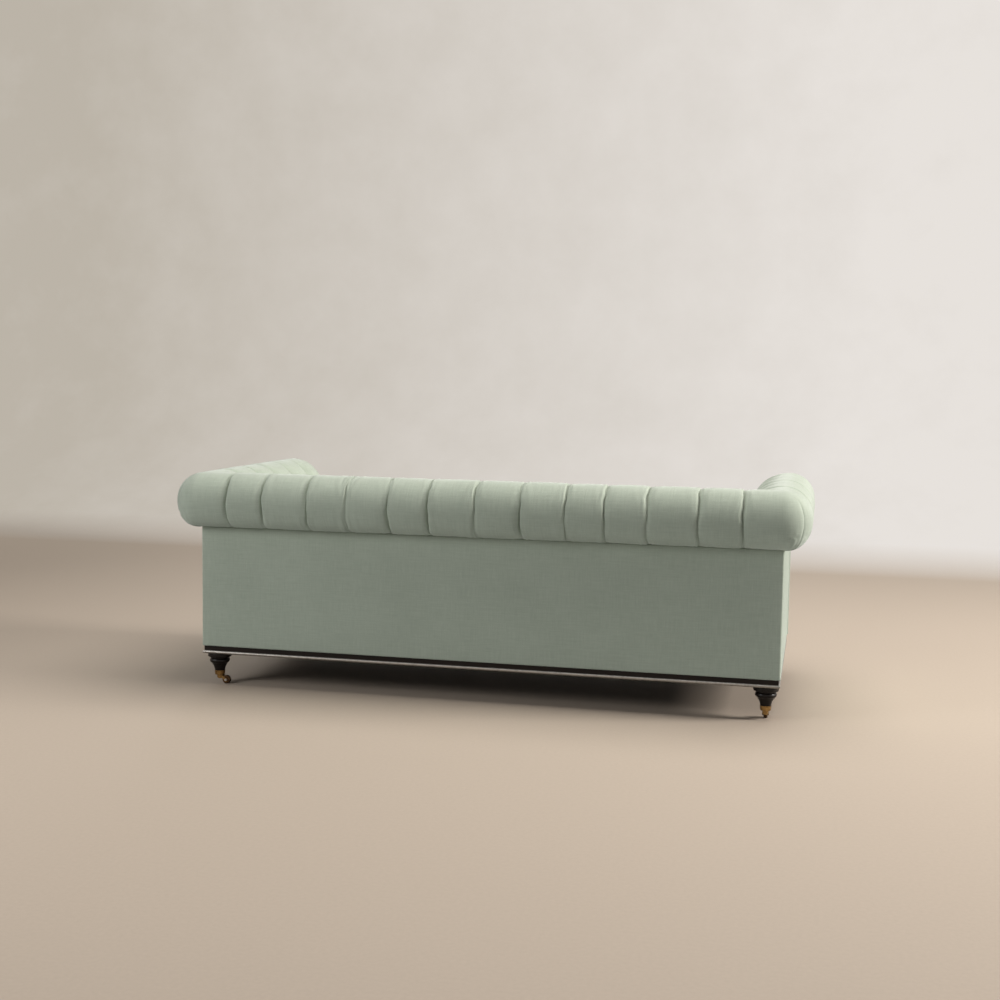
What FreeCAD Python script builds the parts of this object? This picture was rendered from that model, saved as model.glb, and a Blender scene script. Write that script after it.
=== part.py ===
"""Chesterfield sofa: rolled back and arms of one height on a hardwood frame, with turned legs on casters.

Millimetres. X runs along the sofa, Y from front to back and Z up. The origin is on the floor, under the
middle of the whole. Left is -X and right is +X, as seen by someone who faces the front.
"""
import FreeCAD, Part
import math
import operator
import os
from types import SimpleNamespace

import Sketcher

SIZES = {
    # Whole sofa
    "overall_width": 2260,
    "overall_depth": 990,
    "overall_height": 785,
    "base_height": 118,
    "deck_height": 285,
    # Rolls, inside faces and outside panels
    "roll_radius": 98,
    "roll_overhang": 88,
    "back_crest_radius": 170,
    "back_recline": 14,
    "arm_crest_radius": 130,
    "arm_lean": 8,
    "panel_thickness": 8,
    "facing_thickness": 14,
    "facing_inset": 4,
    "board_thickness": 18,
    # Pleats over the rolls and tufts on the inside faces
    "back_pleat_pitch": 151,
    "back_pleat_count": 13,
    "arm_pleat_pitch": 150,
    "arm_pleat_count": 5,
    "arm_pleat_setback": 90,
    "pleat_radius": 7,
    "top_row_angle": 30,
    "tuft_row_pitch": 92,
    "tuft_depth": 18,
    "tuft_radius": 44,
    "button_radius": 13,
    "button_thickness": 7,
    # Base moulding
    "plinth_height": 28,
    "plinth_depth": 28,
    "fascia_recess": 6,
    "bead_height": 11,
    # Frame
    "rail_thickness": 32,
    "post_size": 45,
    "top_rail_height": 60,
    "top_rail_drop": 125,
    "tacking_rail_lift": 15,
    "tacking_rail_height": 40,
    "stretcher_width": 30,
    "stretcher_height": 40,
    "corner_block_leg": 90,
    "leg_block_size": 100,
    # Webbing, springs, the deck over them and the cloth under the seat
    "webbing_thickness": 2,
    "webbing_width": 50,
    "webbing_turnover": 20,
    "back_webbing_pitch": 260,
    "back_webbing_count": 7,
    "arm_webbing_pitch": 180,
    "arm_webbing_count": 3,
    "spring_count": 9,
    "spring_pitch": 190,
    "spring_runs": 25,
    "spring_run_length": 40,
    "wire_radius": 2,
    "clip_width": 30,
    "clip_depth": 16,
    "clip_height": 10,
    "clip_floor": 3,
    "deck_pad_thickness": 19,
    "dust_cover_thickness": 1.5,
    # Loose seat cushions
    "cushion_height": 172,
    "cushion_crown": 16,
    "cushion_draw": 7,
    "cushion_gap": 3,
    "cushion_cover_thickness": 7,
    # Turned legs
    "leg_inset": 48,
    "leg_cap_radius": 43,
    "leg_cap_height": 17,
    "leg_cap_round": 4,
    "leg_neck_radius": 31,
    "leg_neck_height": 4,
    "leg_bead_height": 18,
    "leg_bead_round": 10,
    "leg_shaft_hollow": 70,
    "leg_shoulder": 2.5,
    "leg_foot_radius": 15.5,
    "bolt_radius": 5,
    "bolt_in_leg": 40,
    "bolt_in_block": 24,
    # Casters
    "caster_height": 34,
    "socket_floor": 3,
    "socket_height": 16,
    "socket_radius": 19.5,
    "socket_flare": 1.5,
    "pin_radius": 4,
    "pin_head_radius": 7,
    "pin_head_thickness": 3,
    "horn_height": 11.7,
    "horn_boss_radius": 10.5,
    "horn_eye_radius": 6.5,
    "horn_cheek": 3.5,
    "wheel_radius": 15.5,
    "wheel_width": 13,
    "wheel_round": 3,
    "wheel_trail": 27,
    "axle_radius": 2.5,
    "axle_head_radius": 4.2,
    "axle_head_thickness": 2,
    "front_left_caster_angle": 80,
    "front_right_caster_angle": 115,
    "rear_left_caster_angle": 270,
    "rear_right_caster_angle": 180,
    # Clearances
    "running_clearance": 0.05,
    "swivel_gap": 0.3,
    "wheel_side_gap": 0.6,
    "wheel_rim_gap": 1.3,
    "bolt_clearance": 0.1,
    "wire_clearance": 0.2,
    "frame_clearance": 0.5,
    "seam_gap": 0.3,
}

CORNERS = {"front_left": (-1, -1), "front_right": (1, -1), "rear_left": (-1, 1), "rear_right": (1, 1)}
SIGNS = {"+": operator.add, "-": operator.sub, "*": operator.mul, "/": operator.truediv}
X_AXIS = FreeCAD.Vector(1, 0, 0)
Y_AXIS = FreeCAD.Vector(0, 1, 0)
Z_AXIS = FreeCAD.Vector(0, 0, 1)


class Dim:
    """A number with the sheet expression that gives it, so one formula both draws a piece and drives it."""

    def __init__(self, value, text):
        self.value = value
        self.text = text

    def __add__(self, other):
        return combine(self, "+", other)

    def __radd__(self, other):
        return combine(other, "+", self)

    def __sub__(self, other):
        return combine(self, "-", other)

    def __rsub__(self, other):
        return combine(other, "-", self)

    def __mul__(self, other):
        return combine(self, "*", other)

    def __rmul__(self, other):
        return combine(other, "*", self)

    def __truediv__(self, other):
        return combine(self, "/", other)

    def __neg__(self):
        return combine(0, "-", self)


def dim(thing):
    """A dimension as it is, or a plain number as a dimension."""
    return thing if isinstance(thing, Dim) else Dim(float(thing), f"({float(thing)})")


def combine(left, sign, right):
    """Two dimensions joined by one sign."""
    left, right = dim(left), dim(right)
    return Dim(SIGNS[sign](left.value, right.value), f"({left.text} {sign} {right.text})")


def sine(angle):
    return Dim(math.sin(math.radians(dim(angle).value)), f"sin({dim(angle).text})")


def cosine(angle):
    return Dim(math.cos(math.radians(dim(angle).value)), f"cos({dim(angle).text})")


def tangent(angle):
    return Dim(math.tan(math.radians(dim(angle).value)), f"tan({dim(angle).text})")


def root(square):
    return Dim(math.sqrt(square.value), f"sqrt({square.text})")


def sagitta_radius(chord, rise):
    """Radius of the arc that rises by that much over a chord."""
    return chord * chord / (8 * rise) + rise / 2


# The document and its sheet of driving sizes
doc = FreeCAD.newDocument("Chesterfield")
sheet = doc.addObject("Spreadsheet::Sheet", "Sizes")
for row, (alias, number) in enumerate(SIZES.items(), 1):
    sheet.set(f"A{row}", alias)
    sheet.set(f"B{row}", str(number))
    sheet.setAlias(f"B{row}", alias)
doc.recompute()
S = SimpleNamespace(**{alias: Dim(float(sheet.get(alias)), f"Sizes.{alias}") for alias in SIZES})
sub_parts = {}


# Drawing and solid helpers
def bind(obj, path, value):
    obj.setExpression(path, dim(value).text)


def place(obj, at, turn=None):
    """Put an object at a point and, if asked, turn it about Z."""
    if turn is not None:
        obj.Placement = FreeCAD.Placement(FreeCAD.Vector(), FreeCAD.Rotation(Z_AXIS, turn.value))
        bind(obj, "Placement.Rotation.Angle", turn)
    for letter, value in zip("xyz", at):
        bind(obj, f"Placement.Base.{letter}", value)


def sub_part(label, obj):
    """Name an object as one piece of the sofa."""
    obj.Label = label
    sub_parts[label] = obj
    return obj


def sketch_on(body, name, plane):
    sketch = body.newObject("Sketcher::SketchObject", name)
    support = {feature.Role: feature for feature in body.Origin.OriginFeatures}[plane]
    sketch.AttachmentSupport = [(support, "")]
    sketch.MapMode = "FlatFace"
    return sketch


def fix_point(sketch, geometry, vertex, point):
    """Tie a sketch point to its distances from the sketch's origin."""
    for kind, value in zip(("DistanceX", "DistanceY"), point):
        number = sketch.addConstraint(Sketcher.Constraint(kind, -1, 1, geometry, vertex, dim(value).value))
        bind(sketch, f"Constraints[{number}]", value)


def fix_radius(sketch, geometry, radius):
    number = sketch.addConstraint(Sketcher.Constraint("Radius", geometry, radius.value))
    bind(sketch, f"Constraints[{number}]", radius)


def arc_between(start, end, radius, hollow):
    """An arc under a half circle. Its centre lies left of the way from start to end, or right if hollow."""
    chord = math.dist(start, end)
    reach = math.sqrt(radius * radius - chord * chord / 4) * (-1 if hollow else 1)
    centre_x = (start[0] + end[0]) / 2 - (end[1] - start[1]) / chord * reach
    centre_y = (start[1] + end[1]) / 2 + (end[0] - start[0]) / chord * reach
    first, last = (end, start) if hollow else (start, end)
    angles = [math.atan2(point[1] - centre_y, point[0] - centre_x) for point in (first, last)]
    circle = Part.Circle(FreeCAD.Vector(centre_x, centre_y, 0), Z_AXIS, radius)
    return Part.ArcOfCircle(circle, angles[0], angles[1])


def outline(body, name, plane, points):
    """A closed outline, drawn anticlockwise.

    A point is (u, v), or (u, v, radius) or (u, v, radius, "hollow") where an arc leads on to the next point.
    """
    sketch = sketch_on(body, name, plane)
    ends = []
    for index, point in enumerate(points):
        start = tuple(dim(value).value for value in point[:2])
        end = tuple(dim(value).value for value in points[(index + 1) % len(points)][:2])
        hollow = len(point) == 4
        if len(point) > 2:
            sketch.addGeometry(arc_between(start, end, dim(point[2]).value, hollow), False)
            fix_radius(sketch, index, dim(point[2]))
        else:
            sketch.addGeometry(Part.LineSegment(FreeCAD.Vector(*start, 0), FreeCAD.Vector(*end, 0)), False)
        ends.append((2, 1) if hollow else (1, 2))
    for index, point in enumerate(points):
        following = (index + 1) % len(points)
        sketch.addConstraint(
            Sketcher.Constraint("Coincident", index, ends[index][1], following, ends[following][0]))
        fix_point(sketch, index, ends[index][0], point[:2])
    return sketch


def disc(body, name, plane, centre, radius):
    sketch = sketch_on(body, name, plane)
    middle = FreeCAD.Vector(*(dim(value).value for value in centre), 0)
    sketch.addGeometry(Part.Circle(middle, Z_AXIS, radius.value), False)
    fix_radius(sketch, 0, radius)
    fix_point(sketch, 0, 3, centre)
    return sketch


def extrude(body, kind, sketch, length, symmetric=True):
    """A Pad or Pocket of one sketch, to both sides of its plane or to one."""
    feature = body.newObject(f"PartDesign::{kind}", f"{sketch.Name}{kind}")
    feature.Profile = sketch
    feature.SideType = "Symmetric" if symmetric else "One side"
    bind(feature, "Length", length)
    return feature


def revolve(body, kind, sketch, axis):
    """A full Revolution or Groove of one sketch about its own V_Axis or H_Axis."""
    feature = body.newObject(f"PartDesign::{kind}", f"{sketch.Name}{kind}")
    feature.Profile = sketch
    feature.ReferenceAxis = (sketch, [axis])
    feature.Angle = 360
    return feature


def prism(name, plane, points, length, at=(0, 0, 0), turn=None, symmetric=True):
    """A body with one padded outline."""
    body = doc.addObject("PartDesign::Body", name)
    extrude(body, "Pad", outline(body, f"{name}Outline", plane, points), length, symmetric)
    place(body, at, turn)
    return body


def turned(name, points, at, turn=None, axis="V_Axis"):
    """A turned body of (radius, height) points about Z, or with the H_Axis (distance, radius) about Y."""
    body = doc.addObject("PartDesign::Body", name)
    plane = "XZ_Plane" if axis == "V_Axis" else "YZ_Plane"
    revolve(body, "Revolution", outline(body, f"{name}Outline", plane, points), axis)
    place(body, at, turn)
    return body


def box(name, x, y, z):
    """A block between a low and a high value along each axis."""
    obj = doc.addObject("Part::Box", name)
    for side, letter, (low, high) in zip(("Length", "Width", "Height"), "xyz", (x, y, z)):
        bind(obj, side, high - low)
        bind(obj, f"Placement.Base.{letter}", low)
    return obj


def cylinder(name, radius, at, height):
    """An upright cylinder from a point at the middle of its foot."""
    obj = doc.addObject("Part::Cylinder", name)
    bind(obj, "Radius", radius)
    bind(obj, "Height", height)
    place(obj, at)
    return obj


def group(name, pieces):
    obj = doc.addObject("Part::Compound", name)
    obj.Links = pieces
    return obj


def cut(name, base, tools):
    """A base cut by each tool in turn."""
    for number, tool in enumerate(tools):
        step = doc.addObject("Part::Cut", f"{name}{number}")
        step.Base = base
        step.Tool = tool
        base = step
    return base


def joined(name, pieces):
    obj = doc.addObject("Part::MultiFuse", name)
    obj.Shapes = pieces
    return obj


def shared(name, pieces):
    obj = doc.addObject("Part::MultiCommon", name)
    obj.Shapes = pieces
    return obj


def mirrored(name, source):
    """The other side's copy of a piece, across the middle of the sofa."""
    obj = doc.addObject("Part::Mirroring", name)
    obj.Source = source
    obj.Normal = X_AXIS
    return obj


def both_sides(label, right):
    """Name a right-hand piece and its left-hand mirror image."""
    sub_part(f"{label}_right", right)
    sub_part(f"{label}_left", mirrored(f"{label}_left_mirror", right))


def span(one, other):
    """Two edges as a low and a high one."""
    return (one, other) if one.value < other.value else (other, one)


def spaced(count, pitch, middle=0):
    """Evenly pitched places about a middle, of a whole number of pieces."""
    number = int(dim(count).value)
    return [middle + pitch * (index - (number - 1) / 2) for index in range(number)]


# Main planes and heights
half_width = S.overall_width / 2
half_depth = S.overall_depth / 2
side_plane = half_width - S.roll_overhang
back_plane = half_depth - S.roll_overhang
front_plane = S.facing_thickness - half_depth
frame_side = side_plane - S.panel_thickness
frame_back = back_plane - S.panel_thickness
frame_front = front_plane + S.board_thickness
post_side = frame_side - S.post_size
post_back = frame_back - S.post_size
roll_x = half_width - S.roll_radius
roll_y = half_depth - S.roll_radius
roll_z = S.overall_height - S.roll_radius
roll_base = roll_z - S.roll_radius
rail_base = S.base_height + S.plinth_height
rail_top = S.deck_height - S.deck_pad_thickness - S.clip_height
top_rail_top = S.overall_height - S.top_rail_drop
top_rail_base = top_rail_top - S.top_rail_height
tacking_base = S.deck_height + S.tacking_rail_lift
tacking_top = tacking_base + S.tacking_rail_height
plinth_side = side_plane - S.plinth_depth
plinth_back = back_plane - S.plinth_depth
plinth_front = front_plane + S.plinth_depth
web_side = post_side - S.webbing_thickness
web_back = post_back - S.webbing_thickness
# The inner posts and the stretchers stand midway between two springs
inner_post_middle = S.spring_pitch * 1.5


class Crest:
    """The inside of a stuffed back or arm in section: an arc from the roll's top, then a leaning face.

    Its points are (distance out from the middle of the sofa, height).
    """

    def __init__(self, roll_centre, radius, lean):
        self.roll_centre = roll_centre
        self.radius = radius
        self.lean = lean
        self.centre_z = S.overall_height - radius
        self.tangent = self.on_arc(lean)
        drop = self.tangent[1] - S.deck_height
        self.foot = self.tangent[0] - drop * tangent(lean)

    def on_arc(self, angle, inset=0):
        """The point of the arc at an angle above level."""
        radius = self.radius - inset
        return (self.roll_centre - radius * cosine(angle), self.centre_z + radius * sine(angle))

    def on_face(self, distance):
        """The point of the straight face at a distance down it from the arc."""
        return (self.tangent[0] - distance * sine(self.lean), self.tangent[1] - distance * cosine(self.lean))

    def rows(self):
        """The three button rows from the top one down, as (point, angle of the face's normal above level)."""
        arc_run = self.radius * (S.top_row_angle - self.lean) * (math.pi / 180)
        second = S.tuft_row_pitch - arc_run
        third = second + S.tuft_row_pitch
        return [
            (self.on_arc(S.top_row_angle), S.top_row_angle),
            (self.on_face(second), self.lean),
            (self.on_face(third), self.lean),
        ]

    def section(self, web_plane):
        """The stuffed section: webbing plane, roll, crest and leaning face."""
        return [
            (self.foot, S.deck_height),
            (web_plane, S.deck_height),
            (web_plane, roll_base),
            (self.roll_centre, roll_base, S.roll_radius),
            (self.roll_centre + S.roll_radius, roll_z, S.roll_radius),
            (self.roll_centre, S.overall_height, self.radius),
            self.tangent,
        ]


back_crest = Crest(roll_y, S.back_crest_radius, S.back_recline)
arm_crest = Crest(roll_x, S.arm_crest_radius, S.arm_lean)


# Base moulding: a recessed fascia over a round bead, mitred at the corners
def plinth(name, half_length, at, turn):
    bead_round = S.bead_height / 2
    section = [
        (-S.plinth_depth, 0),
        (-bead_round, 0, bead_round * 1.02),
        (-bead_round, S.bead_height),
        (-S.fascia_recess, S.bead_height),
        (-S.fascia_recess, S.plinth_height),
        (-S.plinth_depth, S.plinth_height),
    ]
    body = doc.addObject("PartDesign::Body", name)
    extrude(body, "Pad", outline(body, f"{name}Section", "YZ_Plane", section), 2 * half_length)
    for end, sign in (("Left", -1), ("Right", 1)):
        corner = (sign * half_length, 0)
        inner = (sign * (half_length - S.plinth_depth), -S.plinth_depth)
        outer = (sign * half_length, -S.plinth_depth)
        mitre = [corner, inner, outer] if sign > 0 else [corner, outer, inner]
        extrude(body, "Pocket", outline(body, f"{name}{end}Mitre", "XY_Plane", mitre), 4 * S.plinth_height)
    place(body, at, dim(turn))
    return body


side_run = (back_plane - front_plane) / 2
side_middle = (back_plane + front_plane) / 2
sub_part("plinth_back", plinth("PlinthBack", side_plane, (0, back_plane, S.base_height), 0))
sub_part("plinth_front", plinth("PlinthFront", side_plane, (0, front_plane, S.base_height), 180))
sub_part("plinth_left", plinth("PlinthLeft", side_run, (-side_plane, side_middle, S.base_height), 90))
sub_part("plinth_right", plinth("PlinthRight", side_run, (side_plane, side_middle, S.base_height), 270))


# Legs, their bolts and blocks, and the casters
def leg_profile():
    """Half of a leg: foot in the socket, hollow shaft, bead, neck, cap, and the bolt's hole from the top."""
    foot = S.caster_height + S.socket_floor
    rim = S.caster_height + S.socket_height
    cap_base = S.base_height - S.leg_cap_height
    bead_top = cap_base - S.leg_neck_height
    bead_base = bead_top - S.leg_bead_height
    neck = S.leg_neck_radius
    cap_flat = S.leg_cap_radius - S.leg_cap_round
    hole = S.bolt_radius + S.bolt_clearance
    hole_end = S.base_height - S.bolt_in_leg
    return [
        (0, foot),
        (S.leg_foot_radius, foot),
        (S.leg_foot_radius, rim),
        (S.leg_foot_radius + S.leg_shoulder, rim, S.leg_shaft_hollow, "hollow"),
        (neck, bead_base, S.leg_bead_round),
        (neck, bead_top),
        (neck, cap_base),
        (cap_flat, cap_base, S.leg_cap_round),
        (S.leg_cap_radius, cap_base + S.leg_cap_round),
        (S.leg_cap_radius, S.base_height - S.leg_cap_round, S.leg_cap_round),
        (cap_flat, S.base_height),
        (hole, S.base_height),
        (hole, hole_end),
        (0, hole_end),
    ]


def socket_profile():
    """Half of a brass cup with its swivel pin and the pin's riveted head below the horn."""
    rim = S.caster_height + S.socket_height
    inside = S.leg_foot_radius + S.bolt_clearance
    head_top = S.caster_height - 2 * S.swivel_gap - S.horn_height
    head_base = head_top - S.pin_head_thickness
    return [
        (0, head_base),
        (S.pin_head_radius, head_base),
        (S.pin_head_radius, head_top),
        (S.pin_radius, head_top),
        (S.pin_radius, S.caster_height),
        (S.socket_radius - S.socket_flare, S.caster_height),
        (S.socket_radius, rim),
        (inside, rim),
        (inside, S.caster_height + S.socket_floor),
        (0, S.caster_height + S.socket_floor),
    ]


def caster_horn(name, at, turn):
    """A forked horn that trails along its own X: arm, round boss, slot for the wheel, and its two bores."""
    boss_top = S.caster_height - S.swivel_gap
    boss_base = boss_top - S.horn_height
    boss = S.horn_boss_radius
    eye = S.horn_eye_radius
    slot_width = S.wheel_width + 2 * S.wheel_side_gap
    fork_width = slot_width + 2 * S.horn_cheek
    bore = S.pin_radius + S.running_clearance
    arm = [
        (0, boss_base),
        (boss, boss_base),
        (S.wheel_trail - eye, S.wheel_radius, eye),
        (S.wheel_trail, S.wheel_radius - eye, eye),
        (S.wheel_trail + eye, S.wheel_radius),
        (boss, boss_top),
        (0, boss_top),
    ]
    boss_half = [(0, boss_base), (boss, boss_base), (boss, boss_top), (0, boss_top)]
    bore_half = [(0, 0), (bore, 0), (bore, S.caster_height), (0, S.caster_height)]
    wheel_centre = (S.wheel_trail, S.wheel_radius)
    wheel_slot = S.wheel_radius + S.wheel_rim_gap
    axle_bore = S.axle_radius + S.running_clearance
    body = doc.addObject("PartDesign::Body", name)
    extrude(body, "Pad", outline(body, f"{name}Arm", "XZ_Plane", arm), fork_width)
    revolve(body, "Revolution", outline(body, f"{name}Boss", "XZ_Plane", boss_half), "V_Axis")
    extrude(body, "Pocket", disc(body, f"{name}Slot", "XZ_Plane", wheel_centre, wheel_slot), slot_width)
    axle_hole = disc(body, f"{name}AxleBore", "XZ_Plane", wheel_centre, axle_bore)
    extrude(body, "Pocket", axle_hole, 2 * fork_width)
    revolve(body, "Groove", outline(body, f"{name}PinBore", "XZ_Plane", bore_half), "V_Axis")
    place(body, at, turn)
    return body


def axle_profile():
    """Half of a plain axle with a rivet head outside each cheek."""
    half_fork = S.wheel_width / 2 + S.wheel_side_gap + S.horn_cheek
    end = half_fork + S.axle_head_thickness
    radius = S.axle_radius
    head = S.axle_head_radius
    return [(-end, 0), (end, 0), (end, head), (half_fork, head), (half_fork, radius), (-half_fork, radius),
            (-half_fork, head), (-end, head)]


def wheel_profile():
    """Half of a wheel with a rounded tread and its running bore."""
    half = S.wheel_width / 2
    shoulder = half - S.wheel_round
    bore = S.axle_radius + S.running_clearance
    side = S.wheel_radius - S.wheel_round
    return [(-half, bore), (half, bore), (half, side, S.wheel_round), (shoulder, S.wheel_radius),
            (-shoulder, S.wheel_radius, S.wheel_round), (-half, side)]


bolts = []
leg_blocks = []
for corner, (side, end) in CORNERS.items():
    tag = corner.title().replace("_", "")
    leg_x = side * (side_plane - S.leg_inset)
    leg_y = back_plane - S.leg_inset if end > 0 else front_plane + S.leg_inset
    angle = getattr(S, f"{corner}_caster_angle")
    under_leg = (leg_x, leg_y, 0)
    wheel_spot = (leg_x + S.wheel_trail * cosine(angle), leg_y + S.wheel_trail * sine(angle), S.wheel_radius)
    sub_part(f"leg_{corner}", turned(f"Leg{tag}", leg_profile(), under_leg))
    sub_part(f"caster_socket_{corner}", turned(f"Socket{tag}", socket_profile(), under_leg))
    sub_part(f"caster_horn_{corner}", caster_horn(f"Horn{tag}", under_leg, angle))
    sub_part(f"caster_axle_{corner}", turned(f"Axle{tag}", axle_profile(), wheel_spot, angle, "H_Axis"))
    sub_part(f"caster_wheel_{corner}", turned(f"Wheel{tag}", wheel_profile(), wheel_spot, angle, "H_Axis"))
    bolt_foot = (leg_x, leg_y, S.base_height - S.bolt_in_leg)
    bolts.append(cylinder(f"Bolt{tag}", S.bolt_radius, bolt_foot, S.bolt_in_leg + S.bolt_in_block))
    block_x = span(side * plinth_side, side * (plinth_side - S.leg_block_size))
    outer_y = plinth_back if end > 0 else plinth_front
    block_y = span(outer_y, outer_y - end * S.leg_block_size)
    block = box(f"LegBlock{tag}", block_x, block_y, (S.base_height, rail_base))
    hole_radius = S.bolt_radius + S.bolt_clearance
    hole = cylinder(f"BlockHole{tag}", hole_radius, bolt_foot, S.bolt_in_leg + S.bolt_in_block)
    leg_blocks.append(cut(f"BoredBlock{tag}", block, [hole]))
sub_part("leg_bolts", group("LegBolts", bolts))
sub_part("leg_blocks", group("LegBlocks", leg_blocks))

# Seat frame
rail_levels = (rail_base, rail_top)
inner_back = frame_back - S.rail_thickness
inner_front = frame_front + S.rail_thickness
inner_side = frame_side - S.rail_thickness
full_x = (-frame_side, frame_side)
sub_part("seat_rail_back", box("SeatRailBack", full_x, (inner_back, frame_back), rail_levels))
sub_part("seat_rail_front", box("SeatRailFront", full_x, (frame_front, inner_front), rail_levels))
side_rail = box("SeatRailRight", (inner_side, frame_side), (inner_front, inner_back), rail_levels)
both_sides("seat_rail", side_rail)

corner_blocks = []
for corner, (side, end) in CORNERS.items():
    inner_y = inner_back if end > 0 else inner_front
    tip = (side * inner_side, inner_y)
    along_x = (side * (inner_side - S.corner_block_leg), inner_y)
    along_y = (side * inner_side, inner_y - end * S.corner_block_leg)
    triangle = [tip, along_x, along_y] if side * end > 0 else [tip, along_y, along_x]
    name = f"CornerBlock{corner.title().replace('_', '')}"
    height = rail_top - rail_base
    corner_blocks.append(prism(name, "XY_Plane", triangle, height, (0, 0, rail_base), None, False))
sub_part("corner_blocks", group("CornerBlocks", corner_blocks))

stretchers = []
for side in (-1, 1):
    middle = side * inner_post_middle
    x = (middle - S.stretcher_width / 2, middle + S.stretcher_width / 2)
    levels = (rail_base, rail_base + S.stretcher_height)
    stretchers.append(box(f"Stretcher{side + 2}", x, (inner_front, inner_back), levels))
sub_part("seat_stretchers", group("SeatStretchers", stretchers))

# Back and arm frame
post_y = (post_back, frame_back)
post_levels = (rail_top, top_rail_base)
top_levels = (top_rail_base, top_rail_top)
tacking_levels = (tacking_base, tacking_top)
half_post = S.post_size / 2
inner_post = (inner_post_middle - half_post, inner_post_middle + half_post)
posts = []
tacking_bays = []
for side in (-1, 1):
    outer_edges = span(side * post_side, side * frame_side)
    inner_edges = span(side * inner_post[0], side * inner_post[1])
    bay_edges = span(side * inner_post[1], side * post_side)
    posts.append(box(f"OuterPost{side + 2}", outer_edges, post_y, post_levels))
    posts.append(box(f"InnerPost{side + 2}", inner_edges, post_y, post_levels))
    tacking_bays.append(box(f"TackingBay{side + 2}", bay_edges, post_y, tacking_levels))
tacking_bays.append(box("TackingBayMiddle", (-inner_post[0], inner_post[0]), post_y, tacking_levels))
sub_part("back_posts", group("BackPosts", posts))
sub_part("back_tacking_rails", group("BackTackingRails", tacking_bays))
sub_part("back_top_rail", box("BackTopRail", full_x, post_y, top_levels))

arm_x = (post_side, frame_side)
stump_back = frame_front + S.post_size
stump = box("ArmStump", arm_x, (frame_front, stump_back), post_levels)
arm_rail = box("ArmTopRail", arm_x, (frame_front, post_back), top_levels)
arm_tacking = box("ArmTackingRail", arm_x, (stump_back, post_back), tacking_levels)
sub_part("arm_stumps", group("ArmStumps", [stump, mirrored("ArmStumpLeft", stump)]))
sub_part("arm_top_rails", group("ArmTopRails", [arm_rail, mirrored("ArmTopRailLeft", arm_rail)]))
left_tacking = mirrored("ArmTackingLeft", arm_tacking)
sub_part("arm_tacking_rails", group("ArmTackingRails", [arm_tacking, left_tacking]))


def scroll(outer, inset):
    """The outline of an arm's end, with its roll and crest drawn in by an inset."""
    radius = S.roll_radius - inset
    reach = outer - roll_x
    tangent_point = arm_crest.on_arc(S.arm_lean, inset)
    inner = arm_crest.foot
    return [
        (inner, rail_base),
        (outer, rail_base),
        (outer, roll_z - root(radius * radius - reach * reach), radius),
        (roll_x + radius, roll_z, radius),
        (roll_x, S.overall_height - inset, S.arm_crest_radius - inset),
        tangent_point,
        (inner + inset, S.deck_height),
        (inner, S.deck_height),
    ]


board_at = (0, (front_plane + frame_front) / 2, 0)
facing_at = (0, front_plane - S.facing_thickness / 2, 0)
board = prism("ScrollBoard", "XZ_Plane", scroll(frame_side, S.facing_inset), S.board_thickness, board_at)
facing = prism("ArmFacing", "XZ_Plane", scroll(side_plane, S.facing_inset), S.facing_thickness, facing_at)
sub_part("scroll_boards", group("ScrollBoards", [board, mirrored("ScrollBoardLeft", board)]))
both_sides("arm_facing", facing)

# Webbing across the back and arms
strap_levels = (tacking_base, top_rail_top - S.webbing_turnover)
half_web = S.webbing_width / 2
straps = []
for number, x in enumerate(spaced(S.back_webbing_count, S.back_webbing_pitch)):
    strap = box(f"BackStrap{number}", (x - half_web, x + half_web), (web_back, post_back), strap_levels)
    straps.append(strap)
arm_middle = (stump_back + back_crest.foot) / 2
for number, y in enumerate(spaced(S.arm_webbing_count, S.arm_webbing_pitch, arm_middle)):
    strap = box(f"ArmStrap{number}", (web_side, post_side), (y - half_web, y + half_web), strap_levels)
    straps.extend([strap, mirrored(f"ArmStrapLeft{number}", strap)])
sub_part("webbing_straps", group("WebbingStraps", straps))

# Serpentine springs, held at each end in clips on the rails
wire_z = rail_top + S.clip_floor + S.wire_radius + S.wire_clearance
first_run_y = (frame_front + inner_front) / 2
last_run_y = (frame_back + inner_back) / 2
spring_places = spaced(S.spring_count, S.spring_pitch)


def spring(x):
    """One unbroken wire: level runs across the seat, joined by half turns on alternate sides."""
    runs = int(S.spring_runs.value)
    half_run = S.spring_run_length.value / 2
    turn = (last_run_y.value - first_run_y.value) / (runs - 1) / 2
    edges = []
    for run in range(runs):
        way = 1 if run % 2 == 0 else -1
        y = first_run_y.value + 2 * turn * run
        start = FreeCAD.Vector(x - way * half_run, y, wire_z.value)
        end = FreeCAD.Vector(x + way * half_run, y, wire_z.value)
        edges.append(Part.LineSegment(start, end).toShape())
        if run < runs - 1:
            outermost = FreeCAD.Vector(x + way * (half_run + turn), y + turn, wire_z.value)
            edges.append(Part.Arc(end, outermost, end + FreeCAD.Vector(0, 2 * turn, 0)).toShape())
    first = edges[0].Vertexes[0].Point
    section = Part.Wire(Part.makeCircle(S.wire_radius.value, first, X_AXIS))
    return Part.Wire(edges).makePipeShell([section], True, False)


springs = doc.addObject("Part::Feature", "SeatSprings")
springs.Shape = Part.makeCompound([spring(dim(x).value) for x in spring_places])
sub_part("seat_springs", springs)

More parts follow.
